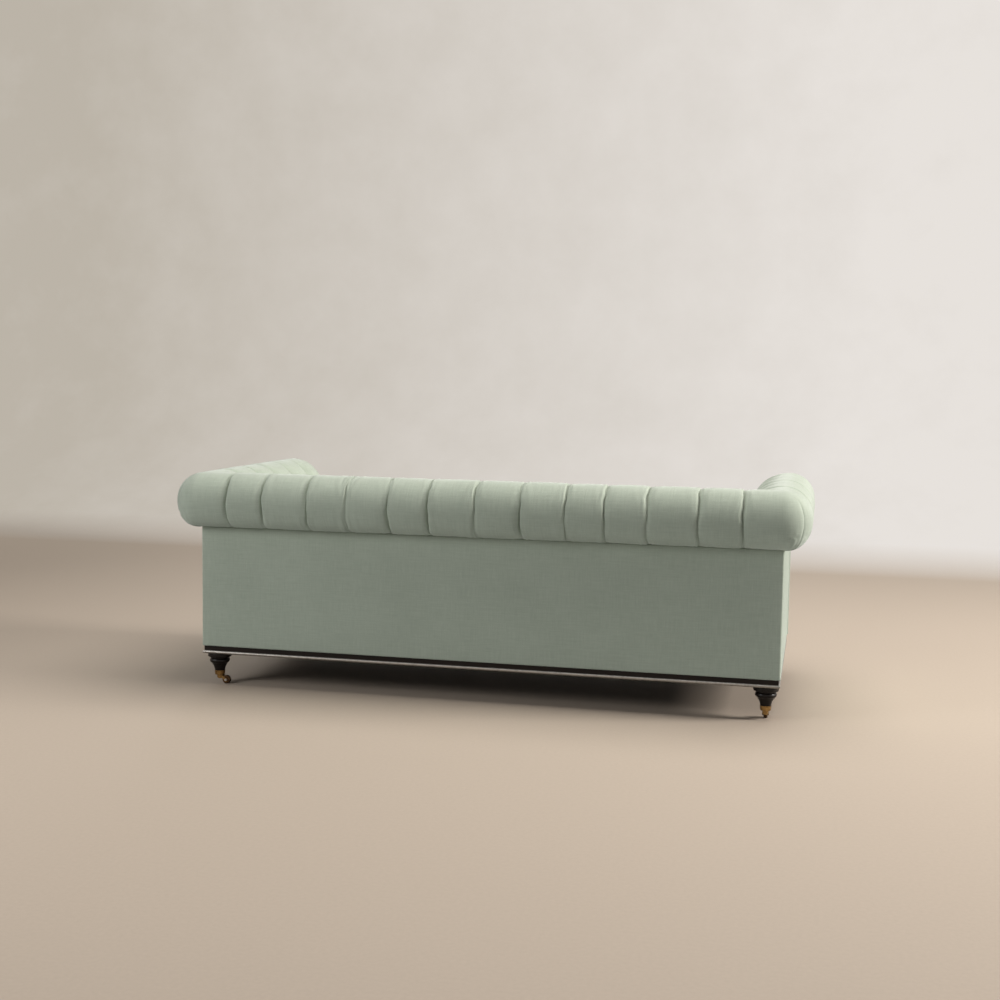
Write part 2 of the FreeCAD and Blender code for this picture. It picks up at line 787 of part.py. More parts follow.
clips = []
clip_levels = (rail_top, rail_top + S.clip_height)
channel_half = S.wire_radius + S.wire_clearance
channel_levels = (wire_z - channel_half, wire_z + channel_half)
for number, x in enumerate(spring_places):
    for tag, y in (("Front", first_run_y), ("Back", last_run_y)):
        clip_x = (x - S.clip_width / 2, x + S.clip_width / 2)
        clip = box(f"Clip{tag}{number}", clip_x, (y - S.clip_depth / 2, y + S.clip_depth / 2), clip_levels)
        channel = box(f"Channel{tag}{number}", clip_x, (y - channel_half, y + channel_half), channel_levels)
        clips.append(cut(f"ClipBore{tag}{number}", clip, [channel]))
sub_part("spring_clips", group("SpringClips", clips))

# Seat deck, front border and dust cover
deck_base = rail_top + S.clip_height
deck_x = (-web_side, web_side)
sub_part("deck_pad", box("DeckPad", deck_x, (frame_front, web_back), (deck_base, S.deck_height)))
border_x = (-arm_crest.foot, arm_crest.foot)
border_levels = (rail_base, S.deck_height)
sub_part("front_border", box("FrontBorder", border_x, (front_plane, frame_front), border_levels))
cover_levels = (rail_base - S.dust_cover_thickness, rail_base)
cover_cloth = box("DustCloth", (-plinth_side, plinth_side), (plinth_front, plinth_back), cover_levels)
sub_part("dust_cover", cut("DustCover", cover_cloth, leg_blocks))

# Outside panels, from the base moulding up to the underside of the rolls
panel_levels = (rail_base, roll_base - S.seam_gap)
back_panel = box("BackPanel", (-side_plane, side_plane), (frame_back, back_plane), panel_levels)
arm_panel = box("ArmPanel", (frame_side, side_plane), (front_plane, frame_back), panel_levels)
sub_part("outside_back_panel", back_panel)
both_sides("outside_arm_panel", arm_panel)


# Stuffed back and arms
def ring(name, centre, radius, sweep, start, towards):
    """A pleat's round channel: a bent rod that starts one way from its centre and turns towards another."""
    obj = doc.addObject("Part::Torus", name)
    rotation = FreeCAD.Rotation(start, towards, start.cross(towards), "XYZ")
    obj.Placement = FreeCAD.Placement(FreeCAD.Vector(), rotation)
    bind(obj, "Radius1", radius)
    bind(obj, "Radius2", S.pleat_radius)
    bind(obj, "Angle3", sweep)
    place(obj, centre)
    return obj


def along_normal(obj, foot, face_angle, axis):
    """Stand a round solid on a point, along the normal of a face that looks up by an angle."""
    tilt = 90 - face_angle
    obj.Placement = FreeCAD.Placement(FreeCAD.Vector(), FreeCAD.Rotation(axis, tilt.value))
    bind(obj, "Placement.Rotation.Angle", tilt)
    place(obj, foot)
    return obj


def tuft(name, foot, face_angle, axis):
    """The funnel that a button pulls into the stuffing, long enough to pass out through a curved face."""
    obj = doc.addObject("Part::Cone", name)
    bind(obj, "Radius1", S.button_radius + S.seam_gap)
    bind(obj, "Radius2", 2 * S.tuft_radius - S.button_radius)
    bind(obj, "Height", 2 * S.tuft_depth)
    return along_normal(obj, foot, face_angle, axis)


def button(name, foot, face_angle, axis):
    obj = doc.addObject("Part::Cylinder", name)
    bind(obj, "Radius", S.button_radius)
    bind(obj, "Height", S.button_thickness)
    return along_normal(obj, foot, face_angle, axis)


def tufting(name, crest, pleats, buttoned, pitch, spot, outward, axis):
    """Pleat channels, tufts and buttons of one stuffed piece.

    The buttoned places carry the top and bottom buttons, and the middle row lies half a pitch from them.
    spot gives a point from a place along the piece and its (distance out, height), outward is the way the
    roll faces, and axis is the line that the face tilts about.
    """
    outer_rings = []
    crest_rings = []
    for number, place_along in enumerate(pleats):
        roll_centre = spot(place_along, (crest.roll_centre, roll_z))
        crest_centre = spot(place_along, (crest.roll_centre, crest.centre_z))
        outer_rings.append(ring(f"{name}Outer{number}", roll_centre, S.roll_radius, 180, -Z_AXIS, outward))
        sweep = 90 - S.top_row_angle
        crest_rings.append(ring(f"{name}Crest{number}", crest_centre, crest.radius, sweep, Z_AXIS, -outward))
    between = [place_along + pitch / 2 for place_along in pleats[:-1]]
    tools = [group(f"{name}OuterPleats", outer_rings), group(f"{name}CrestPleats", crest_rings)]
    buttons = []
    rows = zip((buttoned, between, buttoned), crest.rows())
    for level, (row_places, (point, face_angle)) in enumerate(rows):
        sunk = (point[0] + S.tuft_depth * cosine(face_angle), point[1] - S.tuft_depth * sine(face_angle))
        funnels = []
        for number, place_along in enumerate(row_places):
            foot = spot(place_along, sunk)
            funnels.append(tuft(f"{name}Tuft{level}Number{number}", foot, face_angle, axis))
            buttons.append(button(f"{name}Button{level}Number{number}", foot, face_angle, axis))
        tools.append(group(f"{name}TuftRow{level}", funnels))
    return tools, buttons


slot_levels = (S.deck_height - S.seam_gap, top_rail_top + S.frame_clearance)
slot_side = frame_side + S.frame_clearance
back_slot = box("BackSlot", (-slot_side, slot_side), (web_back, frame_back + S.frame_clearance), slot_levels)
arm_slot = box("ArmSlot", (web_side, slot_side), (frame_front - S.seam_gap, post_back), slot_levels)
slots = [back_slot, arm_slot, mirrored("ArmSlotLeft", arm_slot)]

back_run = prism("BackRun", "YZ_Plane", back_crest.section(web_back), 2 * roll_x)
corner_ball = doc.addObject("Part::Sphere", "CornerBall")
bind(corner_ball, "Radius", S.roll_radius)
place(corner_ball, (roll_x, roll_y, roll_z))
corner_room = box("CornerRoom", (roll_x, half_width), (roll_y, half_depth), (roll_base, S.overall_height))
bullnose = shared("Bullnose", [corner_ball, corner_room])
back_form = joined("BackForm", [back_run, bullnose, mirrored("BullnoseLeft", bullnose)])
back_places = spaced(S.back_pleat_count, S.back_pleat_pitch)
back_tools, back_buttons = tufting(
    "Back", back_crest, back_places, back_places[1:-1], S.back_pleat_pitch,
    lambda place_along, point: (place_along, point[0], point[1]), Y_AXIS, X_AXIS)
sub_part("inside_back", cut("InsideBack", back_form, slots + back_tools))

arm_length = roll_y - frame_front
arm_run_at = (0, (roll_y + frame_front) / 2, 0)
arm_run = prism("ArmRun", "XZ_Plane", arm_crest.section(web_side), arm_length, arm_run_at)
arm_places = [frame_front + S.arm_pleat_setback + S.arm_pleat_pitch * number
              for number in range(int(S.arm_pleat_count.value))]
arm_tools, arm_buttons = tufting(
    "Arm", arm_crest, arm_places, arm_places[:-1], S.arm_pleat_pitch,
    lambda place_along, point: (point[0], place_along, point[1]), X_AXIS, -Y_AXIS)
both_sides("inside_arm", cut("InsideArm", arm_run, [back_form] + slots[:2] + arm_tools))
left_buttons = [mirrored(f"{piece.Name}Left", piece) for piece in arm_buttons]
sub_part("tufting_buttons", group("TuftingButtons", back_buttons + arm_buttons + left_buttons))


# Loose seat cushions: a cover round a core, crowned on top and drawn in between the corners
def cushion_form(name, inset):
    """The space inside three outlines: from the front, from the side and from above."""
    base = S.deck_height + S.seam_gap + inset
    top = S.deck_height + S.cushion_height - inset
    height = top - base
    inner_x = S.cushion_gap / 2 + inset
    outer_x = arm_crest.foot - S.cushion_gap - inset
    outer_top_x = outer_x + height * tangent(S.arm_lean)
    front_y = front_plane + inset
    back_y = back_crest.foot - S.cushion_gap - inset
    back_top_y = back_y + height * tangent(S.back_recline)
    crown_x = sagitta_radius(outer_top_x - inner_x, S.cushion_crown)
    crown_y = sagitta_radius(back_top_y - front_y, S.cushion_crown)
    draw_x = sagitta_radius(outer_top_x - inner_x, S.cushion_draw)
    draw_y = sagitta_radius(back_top_y - front_y, S.cushion_draw)
    front_view = [(inner_x, base), (outer_x, base), (outer_top_x, top, crown_x), (inner_x, top)]
    side_view = [(front_y, base), (back_y, base), (back_top_y, top, crown_y), (front_y, top)]
    plan = [
        (inner_x, front_y, draw_x, "hollow"),
        (outer_top_x, front_y, draw_y, "hollow"),
        (outer_top_x, back_top_y, draw_x, "hollow"),
        (inner_x, back_top_y, draw_y, "hollow"),
    ]
    views = [
        prism(f"{name}FrontView", "XZ_Plane", front_view, 2 * S.overall_depth),
        prism(f"{name}SideView", "YZ_Plane", side_view, 2 * S.overall_width),
        prism(f"{name}Plan", "XY_Plane", plan, 2 * S.overall_height),
    ]
    return shared(name, views)


core = cushion_form("CushionCore", S.cushion_cover_thickness)
both_sides("seat_cushion_core", core)
both_sides("seat_cushion_cover", cut("CushionCover", cushion_form("CushionForm", dim(0)), [core]))

doc.recompute()


# Check everything, then write each piece
faults = [f"{obj.Label}: {obj.State}" for obj in doc.Objects if {"Invalid", "Error"} & set(obj.State)]
for label, obj in sub_parts.items():
    if obj.Shape.isNull() or not obj.Shape.isValid() or not obj.Shape.Solids:
        faults.append(f"{label}: its shape is empty or not valid")
if faults:
    raise RuntimeError("\n".join(faults))

os.makedirs("parts", exist_ok=True)
for label, obj in sub_parts.items():
    obj.Shape.exportStep(f"parts/{label}.step")
    box_size = obj.Shape.BoundBox
    print(f"{label}: {len(obj.Shape.Solids)} solids, {obj.Shape.Volume / 1e6:.3f} litres,"
          f" {box_size.XLength:.1f} x {box_size.YLength:.1f} x {box_size.ZLength:.1f}")
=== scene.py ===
"""Chesterfield sofa in pale sage cloth, seen from behind: stuffed rolls, tufts, cushions, wood and brass.

Metres. X runs along the sofa, Y from front to back and Z up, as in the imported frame.
"""

import math
from collections import namedtuple

import bmesh
import bpy
import numpy as np
from mathutils import Matrix, Vector


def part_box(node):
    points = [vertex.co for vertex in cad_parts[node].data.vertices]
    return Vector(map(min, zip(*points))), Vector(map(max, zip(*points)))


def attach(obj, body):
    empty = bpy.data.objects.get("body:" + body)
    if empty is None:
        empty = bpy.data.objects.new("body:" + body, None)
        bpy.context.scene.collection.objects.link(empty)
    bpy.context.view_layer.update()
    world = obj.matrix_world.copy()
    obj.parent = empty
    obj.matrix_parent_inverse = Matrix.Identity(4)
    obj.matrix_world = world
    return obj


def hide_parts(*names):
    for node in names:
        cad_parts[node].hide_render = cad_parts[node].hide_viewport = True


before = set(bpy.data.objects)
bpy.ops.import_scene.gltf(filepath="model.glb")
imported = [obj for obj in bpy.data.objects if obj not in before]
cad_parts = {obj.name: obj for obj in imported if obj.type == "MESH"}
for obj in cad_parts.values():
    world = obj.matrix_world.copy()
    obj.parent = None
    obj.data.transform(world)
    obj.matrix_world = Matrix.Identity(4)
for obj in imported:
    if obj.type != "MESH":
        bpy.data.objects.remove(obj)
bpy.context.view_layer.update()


def corners_of(node):
    """Lowest and highest corner of a CAD node, as arrays."""
    low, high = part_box(node)
    return np.array(low), np.array(high)


back_low, back_high = corners_of("inside_back")
facing_low, facing_high = corners_of("arm_facing_right")
cover_low, cover_high = corners_of("seat_cushion_cover_right")
dust_low, dust_high = corners_of("dust_cover")
spring_low, spring_high = corners_of("seat_springs")
base_low = np.minimum(corners_of("plinth_front")[0], corners_of("plinth_left")[0])
base_high = np.maximum(corners_of("plinth_back")[1], corners_of("plinth_right")[1])

# Rolls, arms and what lies on them
SIDES = ((-1, "left"), (1, "right"))
TOP = back_high[2]
DECK = back_low[2]
ROLL_RADIUS = 0.098
ROLL_X = back_high[0] - ROLL_RADIUS
ROLL_Y = back_high[1] - ROLL_RADIUS
ROLL_Z = TOP - ROLL_RADIUS
BACK_CREST_RADIUS = 0.170
BACK_LEAN_DEGREES = 14
ARM_CREST_RADIUS = 0.130
ARM_LEAN_DEGREES = 8
ARM_FIRST_PLEAT = -0.373
FRONT_PLANE = facing_high[1]
FACING_PLANE = corners_of("outside_arm_panel_right")[1][0] - 0.001
FACING_INSET = 0.004
FACING_EDGE = 0.010
FACING_SWELL = 0.004
FACING_SWELL_WIDTH = 0.03
WEB_SETBACK = 0.045
LAP = 0.028
BACK_SQUEEZE_X = 0.74
ARM_SQUEEZE_Y = -0.10
TOP_ROW_DEGREES = 60
ROW_PITCH = 0.092
BUTTON_RADIUS = 0.013
BUTTON_SEAT = 0.0095
EDGE_RADIUS = 0.006
PANEL_STEP = 0.03
PANEL_WAVE = 0.0010
PANEL_WAVE_SIZE = 0.35
PANEL_WAVE_FADE = 0.05
PIPING_RADIUS = 0.0042
PIPING_PROUD = 0.003
TWIST_LENGTH = 0.011
TWIST_SWELL = 0.03
CORD_SIDES = 10
FRONT_RELIEF = 0.12
FRONT_CALM = (0.012, 0.07)

# How fine the grids are: rows round a section, columns to a pleat and across a facing, stops on a rounded
# edge, and the turns of the fan round a rear corner
ROLL_ROWS = 66
TUFT_ROWS = 88
HIDDEN_ROWS = 16
PITCH_COLUMNS = 32
FACING_COLUMNS = 40
EDGE_ROWS = 7
FAN = np.radians(np.linspace(0, 46.0, 15))[1:]

# Bead of the base, and the springs' wire
BEAD_TOP = 0.1292
BEAD_DEPTH = 0.009
WIRE_RADIUS = 0.002
SPRING_COUNT = 9
SPRING_PITCH = 0.190
SPRING_RUNS = 25
SPRING_HALF_RUN = 0.020

# Folds of the cloth: heights, widths and lengths, and the arc length at which the roll sags most
CREASE_DEPTH = 0.0072
CREASE_WIDTH = 0.0021
TUFT_CREASE_WIDTH = 0.0029
FOLD_DEPTH = 0.0062
STEEP_FLANK = 0.0030
LONG_FLANK = 0.0085
LIP_HEIGHT = 0.0011
LIP_WIDTH = 0.0012
RIPPLE_HEIGHT = 0.0017
RIPPLE_LENGTH = 0.0105
FOLD_FADE = 0.030
ROLL_FULLNESS = 0.0018
TUFT_FULLNESS = 0.0254
LOW_SLACK = 0.016
SAG_HEIGHT = 0.0055
SAG_PLACE = 0.066
SAG_WIDTH = 0.050
PLEAT_LEAST = 0.27
PLEAT_SWING = 0.86
PLEAT_SPREAD = 0.25
BUTTON_PULL = 0.38
VALLEY_POWER = 1.5
VALLEY_LEAN = 0.7
VALLEY_LEVEL = 0.36
FLANK_POWER = 1.4
UNEVEN_HEIGHT = 0.0007
UNEVEN_SIZE = 0.16
# How far a pleat strays sideways, in pitches, by what wave number along it and with what shift for each pleat
WANDERS = ((0.010, 47, 1.7), (0.004, 118, 2.9))

# Corners: the tuck inside, and the bulge, mitre crease, ripples and tucks at (turn, arc length) outside
CORNER_TUCK = 0.008
CORNER_TUCK_FADE = 0.02
CORNER_BULGE = 0.0050
CORNER_BULGE_WIDTH = 0.052
CORNER_RIPPLE = 0.0009
MITRE_TURN = math.radians(45)
MITRE_DEPTH = 0.0042
MITRE_WIDTH = 0.0028
MITRE_START = (0.055, 0.12)
MITRE_END = (0.20, 0.24)
TUCK_DEPTH = 0.0035
TUCK_WIDTH = 0.008
TUCK_HEIGHT = 0.004
TUCKS = ((0.30, 0.098), (0.52, 0.106))

# Pleats over a roll: how deep each is, which way its fold lies, and how far round the roll it is deepest,
# from 0 underneath to 1 on top
Pleats = namedtuple("Pleats", "pitch depth turn peak")
BACK_PLEATS = Pleats(
    pitch=0.151,
    depth=np.array([1.5, 1.35, 1.3, 1.2, 1.0, 1.1, 0.9, 1.25, 1.2, 0.45, 1.0, 1.15, 1.55]),
    turn=np.array([1, 1, 1, 1, 1, -1, 1, -1, -1, 1, -1, -1, -1]),
    peak=np.array([0.62, 0.66, 0.70, 0.68, 0.68, 0.42, 0.60, 0.46, 0.38, 0.46, 0.60, 0.52, 0.60]))
ARM_PLEATS = Pleats(
    pitch=0.150,
    depth=np.array([1.3, 0.9, 0.8, 0.9, 1.1]),
    turn=np.array([1, 1, -1, 1, -1]),
    peak=np.array([0.60, 0.55, 0.65, 0.50, 0.60]))
# Where each pleat really crosses the back roll
BACK_PLEAT_X = np.array(
    [-0.904, -0.759, -0.588, -0.445, -0.312, -0.158, 0.003, 0.168, 0.312, 0.466, 0.610, 0.778, 0.913])
BACK_MIDDLE = (len(BACK_PLEAT_X) - 1) / 2


# Shapes
def smooth_step(start, end, value):
    """0 before start, 1 after end, and the cubic 3s^2 - 2s^3 between them."""
    share = np.clip((value - start) / (end - start), 0, 1)
    return share * share * (3 - 2 * share)


def bell(value, middle, spread):
    """The bell curve: e to the power of minus the square of the distance from the middle over the spread."""
    return np.exp(-((value - middle) / spread) ** 2)


def unit(vectors):
    """Vectors brought to a length of 1."""
    return vectors / np.linalg.norm(vectors, axis=1, keepdims=True)


def joined(*parts):
    """Points or pairs from their coordinates, each stretched to the shape that all share."""
    return np.stack(np.broadcast_arrays(*parts), axis=-1)


def circle_drop(past, radius):
    """How far a quarter circle has fallen at a distance past its top."""
    return radius - np.sqrt(np.maximum(radius ** 2 - past ** 2, 0))


def edge_drop(from_edge, radius):
    """How far a rounded edge falls away: a quarter circle within one radius of it."""
    return circle_drop(np.clip(radius - from_edge, 0, radius), radius)


def unevenness(u, v, size, seed):
    """Smooth noise near -1 to 1: the mean of nine plane waves of about that size, with seeded ways and
    phases."""
    draw = np.random.default_rng(seed)
    total = np.zeros(np.broadcast(u, v).shape)
    for _ in range(9):
        heading = draw.uniform(0, 2 * math.pi)
        length = size * draw.uniform(0.7, 1.6)
        phase = draw.uniform(0, 2 * math.pi)
        total += np.sin((u * math.cos(heading) + v * math.sin(heading)) * 2 * math.pi / length + phase)
    return total / 4.5


class Section:
    """Cross section of a stuffed piece by arc length, from the underside of its roll to the deck.

    A half circle of the roll's radius rises on the outside, an arc of the crest's radius turns over the top,
    and a straight face leans down from it. Out is measured from the roll's centre line.
    """

    def __init__(self, crest_radius, lean_degrees, pleats=None, inset=0.0):
        self.pleats = pleats
        self.lean = math.radians(lean_degrees)
        self.roll_radius = ROLL_RADIUS - inset
        self.crest_radius = crest_radius - inset
        self.top = TOP - inset
        self.roll_length = math.pi * self.roll_radius
        self.crest_length = self.crest_radius * (math.pi / 2 - self.lean)
        self.tangent_in = self.crest_radius * math.cos(self.lean)
        self.tangent_up = self.top - self.crest_radius * (1 - math.sin(self.lean))
        self.face_length = (self.tangent_up - DECK) / math.cos(self.lean)
        self.length = self.roll_length + self.crest_length + self.face_length
        top_row = self.roll_length + self.crest_radius * math.radians(TOP_ROW_DEGREES)
        self.rows = top_row + ROW_PITCH * np.arange(3)

    def at(self, t):
        """Out, up and the normal's two parts at arc length t: radius times cosine and sine of the turned
        angle, then a slide down the leaning face."""
        on_roll = t < self.roll_length
        past_top = np.clip(t - self.roll_length, 0, self.crest_length)
        on_crest = math.pi / 2 + past_top / self.crest_radius
        angle = np.where(on_roll, t / self.roll_radius - math.pi / 2, on_crest)
        radius = np.where(on_roll, self.roll_radius, self.crest_radius)
        slide = np.maximum(t - self.roll_length - self.crest_length, 0)
        out = radius * np.cos(angle) - slide * math.sin(self.lean)
        up = self.top - radius + radius * np.sin(angle) - slide * math.cos(self.lean)
        return out, up, np.cos(angle), np.sin(angle)

    def inside(self, t):
        """0 over the roll, and a smooth step to 1 at the top buttons."""
        return smooth_step(self.roll_length * 0.95, self.rows[0], t)

    def reach(self, up):
        """How far in from the roll's centre line the face lies: the crest's circle above its tangent point,
        the leaning line below."""
        rise = up - (self.top - self.crest_radius)
        circle = np.sqrt(np.maximum(self.crest_radius ** 2 - rise ** 2, 0))
        line = self.tangent_in + (self.tangent_up - up) * math.tan(self.lean)
        return np.where(up > self.tangent_up, circle, line)

    def steps(self):
        """Arc lengths of the rows: close over the roll, crest and tufts, wider down behind the cushions."""
        tufts_end = self.rows[2] + 0.035
        roll = np.linspace(0, self.roll_length, ROLL_ROWS)
        tufted = np.linspace(self.roll_length, tufts_end, TUFT_ROWS)[1:]
        hidden = np.linspace(tufts_end, self.length, HIDDEN_ROWS)[1:]
        return np.concatenate([roll, tufted, hidden])


BACK = Section(BACK_CREST_RADIUS, BACK_LEAN_DEGREES, BACK_PLEATS)
ARM = Section(ARM_CREST_RADIUS, ARM_LEAN_DEGREES, ARM_PLEATS)
FACING = Section(ARM_CREST_RADIUS, ARM_LEAN_DEGREES, inset=FACING_INSET)


def tufted_relief(section, place, t):
    """Height of the pleated and tufted cloth over its plain section.

    place counts pleats along the piece, whole at each. Two families of folds run along whole numbers of
    place plus and place minus a slant that grows from 0 at the top buttons to 1 at the bottom ones, so they
    cross at the buttons and run straight over the roll. Each fold is a valley of (1 - sine of its distance)
    to a power, deepest at the buttons, with a narrow exponential crease in it and fine ripples beside it. On
    the roll the folds are shallow and lie over to one side: an exponential dip with a long and a steep
    flank, and a lip by a tanh step that dies away. Each is deepest at its own place round the roll, by a
    bell curve.
    """
    pleats = section.pleats
    first, last = section.rows[0], section.rows[2]
    slant = np.clip((t - first) / (last - first), 0, 1)
    inside = section.inside(t)
    on_roll = 1 - inside
    below = smooth_step(last + 0.02, last + 0.12, t)
    number = np.clip(np.round(place), 0, len(pleats.depth) - 1)
    nearest = number.astype(int)
    deep = pleats.depth[nearest]
    round_roll = bell(t / section.roll_length, pleats.peak[nearest], PLEAT_SPREAD)
    force = 1 + (deep * (PLEAT_LEAST + PLEAT_SWING * round_roll) - 1) * on_roll
    turn = pleats.turn[nearest] * on_roll
    inner = np.clip(place, -0.5, len(pleats.depth) - 0.5)
    diamond = 1 / math.hypot(1 / pleats.pitch, 1 / (last - first))
    run = np.where((slant > 0) & (slant < 1), diamond, pleats.pitch)
    valley, crease, ripple, lip, fold = np.zeros((5, *t.shape))
    for along, across in ((inner + slant, inner - slant), (inner - slant, inner + slant)):
        off = along - np.round(along)
        away = np.abs(off) * run
        lying = turn * np.sign(off)
        pull = 1 - BUTTON_PULL + BUTTON_PULL * np.cos(math.pi * across) ** 2
        power = VALLEY_POWER + VALLEY_LEAN * lying
        valley = np.maximum(valley, pull * (1 - np.sin(math.pi * np.abs(off))) ** power)
        crease = np.maximum(crease, pull * np.exp(-away / (CREASE_WIDTH + TUFT_CREASE_WIDTH * inside)))
        waves = np.sin(away * 2 * math.pi / RIPPLE_LENGTH + 1.9 * number + 3 * np.sin(17 * t + number))
        ripple = ripple + 0.5 * waves * np.exp(-away / FOLD_FADE)
        flank = STEEP_FLANK + LONG_FLANK * (0.5 - 0.5 * lying)
        fold = np.maximum(fold, np.exp(-(away / flank) ** FLANK_POWER))
        step = np.tanh(turn * off * run / LIP_WIDTH)
        lip = lip + 0.5 * step * np.abs(turn) * np.exp(-away / FOLD_FADE)
    fullness = ROLL_FULLNESS + TUFT_FULLNESS * inside - LOW_SLACK * below
    crease_depth = (CREASE_DEPTH + 0.0002 * inside) * (1 - 0.7 * below)
    sag = SAG_HEIGHT * bell(t, SAG_PLACE, SAG_WIDTH)
    relief = fullness * (VALLEY_LEVEL - force * valley) - crease_depth * force * crease
    relief = relief - FOLD_DEPTH * on_roll * force * fold
    relief = relief + RIPPLE_HEIGHT * (1.75 - 0.6 * deep) * on_roll * ripple + LIP_HEIGHT * force * lip
    return (relief + sag) * smooth_step(0, 0.02, t)


def pleat_wander(section, place, t):
    """How far a pleat strays sideways on the roll: two sines along it, fading between the pleats by a
    squared cosine and towards the top buttons."""
    number = np.clip(np.round(place), 0, len(section.pleats.depth) - 1)
    off = np.clip(place - number, -0.5, 0.5)
    stray = sum(share * np.sin(waves * t + shift * number) for share, waves, shift in WANDERS)
    return section.pleats.pitch * (stray * (1 - section.inside(t)) * np.cos(math.pi * off) ** 2)


def fold_columns(start, end):
    """Places along a piece from start to end, counted in pleats: 16 to each half pitch, drawn together
    towards the whole and half numbers by a sine of the even step. Both ends are kept exactly."""
    halves = np.linspace(2 * start, 2 * end, int(round(PITCH_COLUMNS * (end - start))) + 1)
    places = (halves - 0.80 * np.sin(2 * math.pi * halves) / (2 * math.pi)) / 2
    between = places[(places > start + 0.004) & (places < end - 0.004)]
    return np.concatenate([[start], between, [end]])


def quarter_stops(radius, count):
    """Places across a rounded edge, from its rim in: even steps on its quarter circle."""
    return radius * (1 - np.cos(np.linspace(0, math.pi / 2, count)))


def lengths_along(path):
    """Length of a path up to each of its points."""
    return np.concatenate([[0], np.cumsum(np.linalg.norm(np.diff(path, axis=0), axis=1))])


def grid_numbers(rows, columns):
    """Numbers of a grid's points, row by row."""
    return np.arange(rows * columns).reshape(rows, columns)


def grid_quads(rows, columns, closed=False):
    """Quads of a grid. The last row meets the first again if it is closed."""
    numbers = grid_numbers(rows, columns)
    if closed:
        numbers = np.vstack([numbers, numbers[:1]])
    corners = (numbers[:-1, :-1], numbers[:-1, 1:], numbers[1:, 1:], numbers[1:, :-1])
    return joined(*corners).reshape(-1, 4)


def rim_of(rows, columns):
    """Numbers of a grid's outer points, once round."""
    numbers = grid_numbers(rows, columns)
    return np.concatenate([numbers[0, :-1], numbers[:-1, -1], numbers[-1, :0:-1], numbers[:0:-1, 0]])


def make_piece(name, points, quads, uv, caps=(), material=None):
    """A closed mesh piece from its points, quads and many-sided caps.

    uv has one pair for each point, or one for each corner of each quad. Points that coincide are merged, and
    every face is turned outwards.
    """
    mesh = bpy.data.meshes.new(name)
    mesh.from_pydata(points.tolist(), [], quads.tolist() + [list(cap) for cap in caps])
    corner_uv = uv[quads] if uv.ndim == 2 else uv
    cap_uv = [np.zeros((len(cap), 2)) if uv.ndim == 3 else uv[np.array(cap)] for cap in caps]
    flat = np.concatenate([corner_uv.reshape(-1, 2)] + cap_uv)
    mesh.uv_layers.new(name="UVMap").data.foreach_set("uv", flat.ravel())
    edit = bmesh.new()
    edit.from_mesh(mesh)
    bmesh.ops.remove_doubles(edit, verts=edit.verts, dist=2e-6)
    bmesh.ops.recalc_face_normals(edit, faces=edit.faces)
    edit.to_mesh(mesh)
    edit.free()
    mesh.shade_smooth()
    piece = bpy.data.objects.new(name, mesh)
    bpy.context.scene.collection.objects.link(piece)
    if material:
        mesh.materials.append(material)
    return piece


def grid_piece(name, points, uv, material, caps=(), closed=False):
    """A piece from one grid of points, with its open ends capped."""
    quads = grid_quads(*points.shape[:2], closed)
    return make_piece(name, points.reshape(-1, 3), quads, uv.reshape(-1, 2), caps, material)


def repeated_piece(name, sets, uv, material, caps):
    """A piece from many copies of one grid, set down at their own points, each with the same caps."""
    shape = sets.shape[1:3]
    starts = shape[0] * shape[1] * np.arange(len(sets))
    quads = (grid_quads(*shape)[None] + starts[:, None, None]).reshape(-1, 4)
    all_caps = [ring + start for start in starts for ring in caps]
    all_uv = np.tile(uv.reshape(-1, 2), (len(sets), 1))
    return make_piece(name, sets.reshape(-1, 3), quads, all_uv, all_caps, material)


def backed_piece(name, face, uv, axis, behind, material):
    """A piece from the grid of its face, walls from the face's rim to a plane behind it, and a flat back."""
    shape = face.shape[:2]
    face = face.reshape(-1, 3)
    uv = uv.reshape(-1, 2)
    rim = rim_of(*shape)
    back = face[rim]
    back[:, axis] = behind
    back_rim = np.arange(len(rim)) + len(face)
    walls = joined(rim, np.roll(rim, -1), np.roll(back_rim, -1), back_rim)
    quads = np.concatenate([grid_quads(*shape), walls])
    points = np.concatenate([face, back])
    return make_piece(name, points, quads, np.concatenate([uv, uv[rim]]), [back_rim], material)


def dress(piece, body, slot, *nodes, fill=None):
    """Let a piece ride on its body and stand for its CAD nodes. Its slot and fill are not used."""
    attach(piece, body)
    if nodes:
        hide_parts(*nodes)


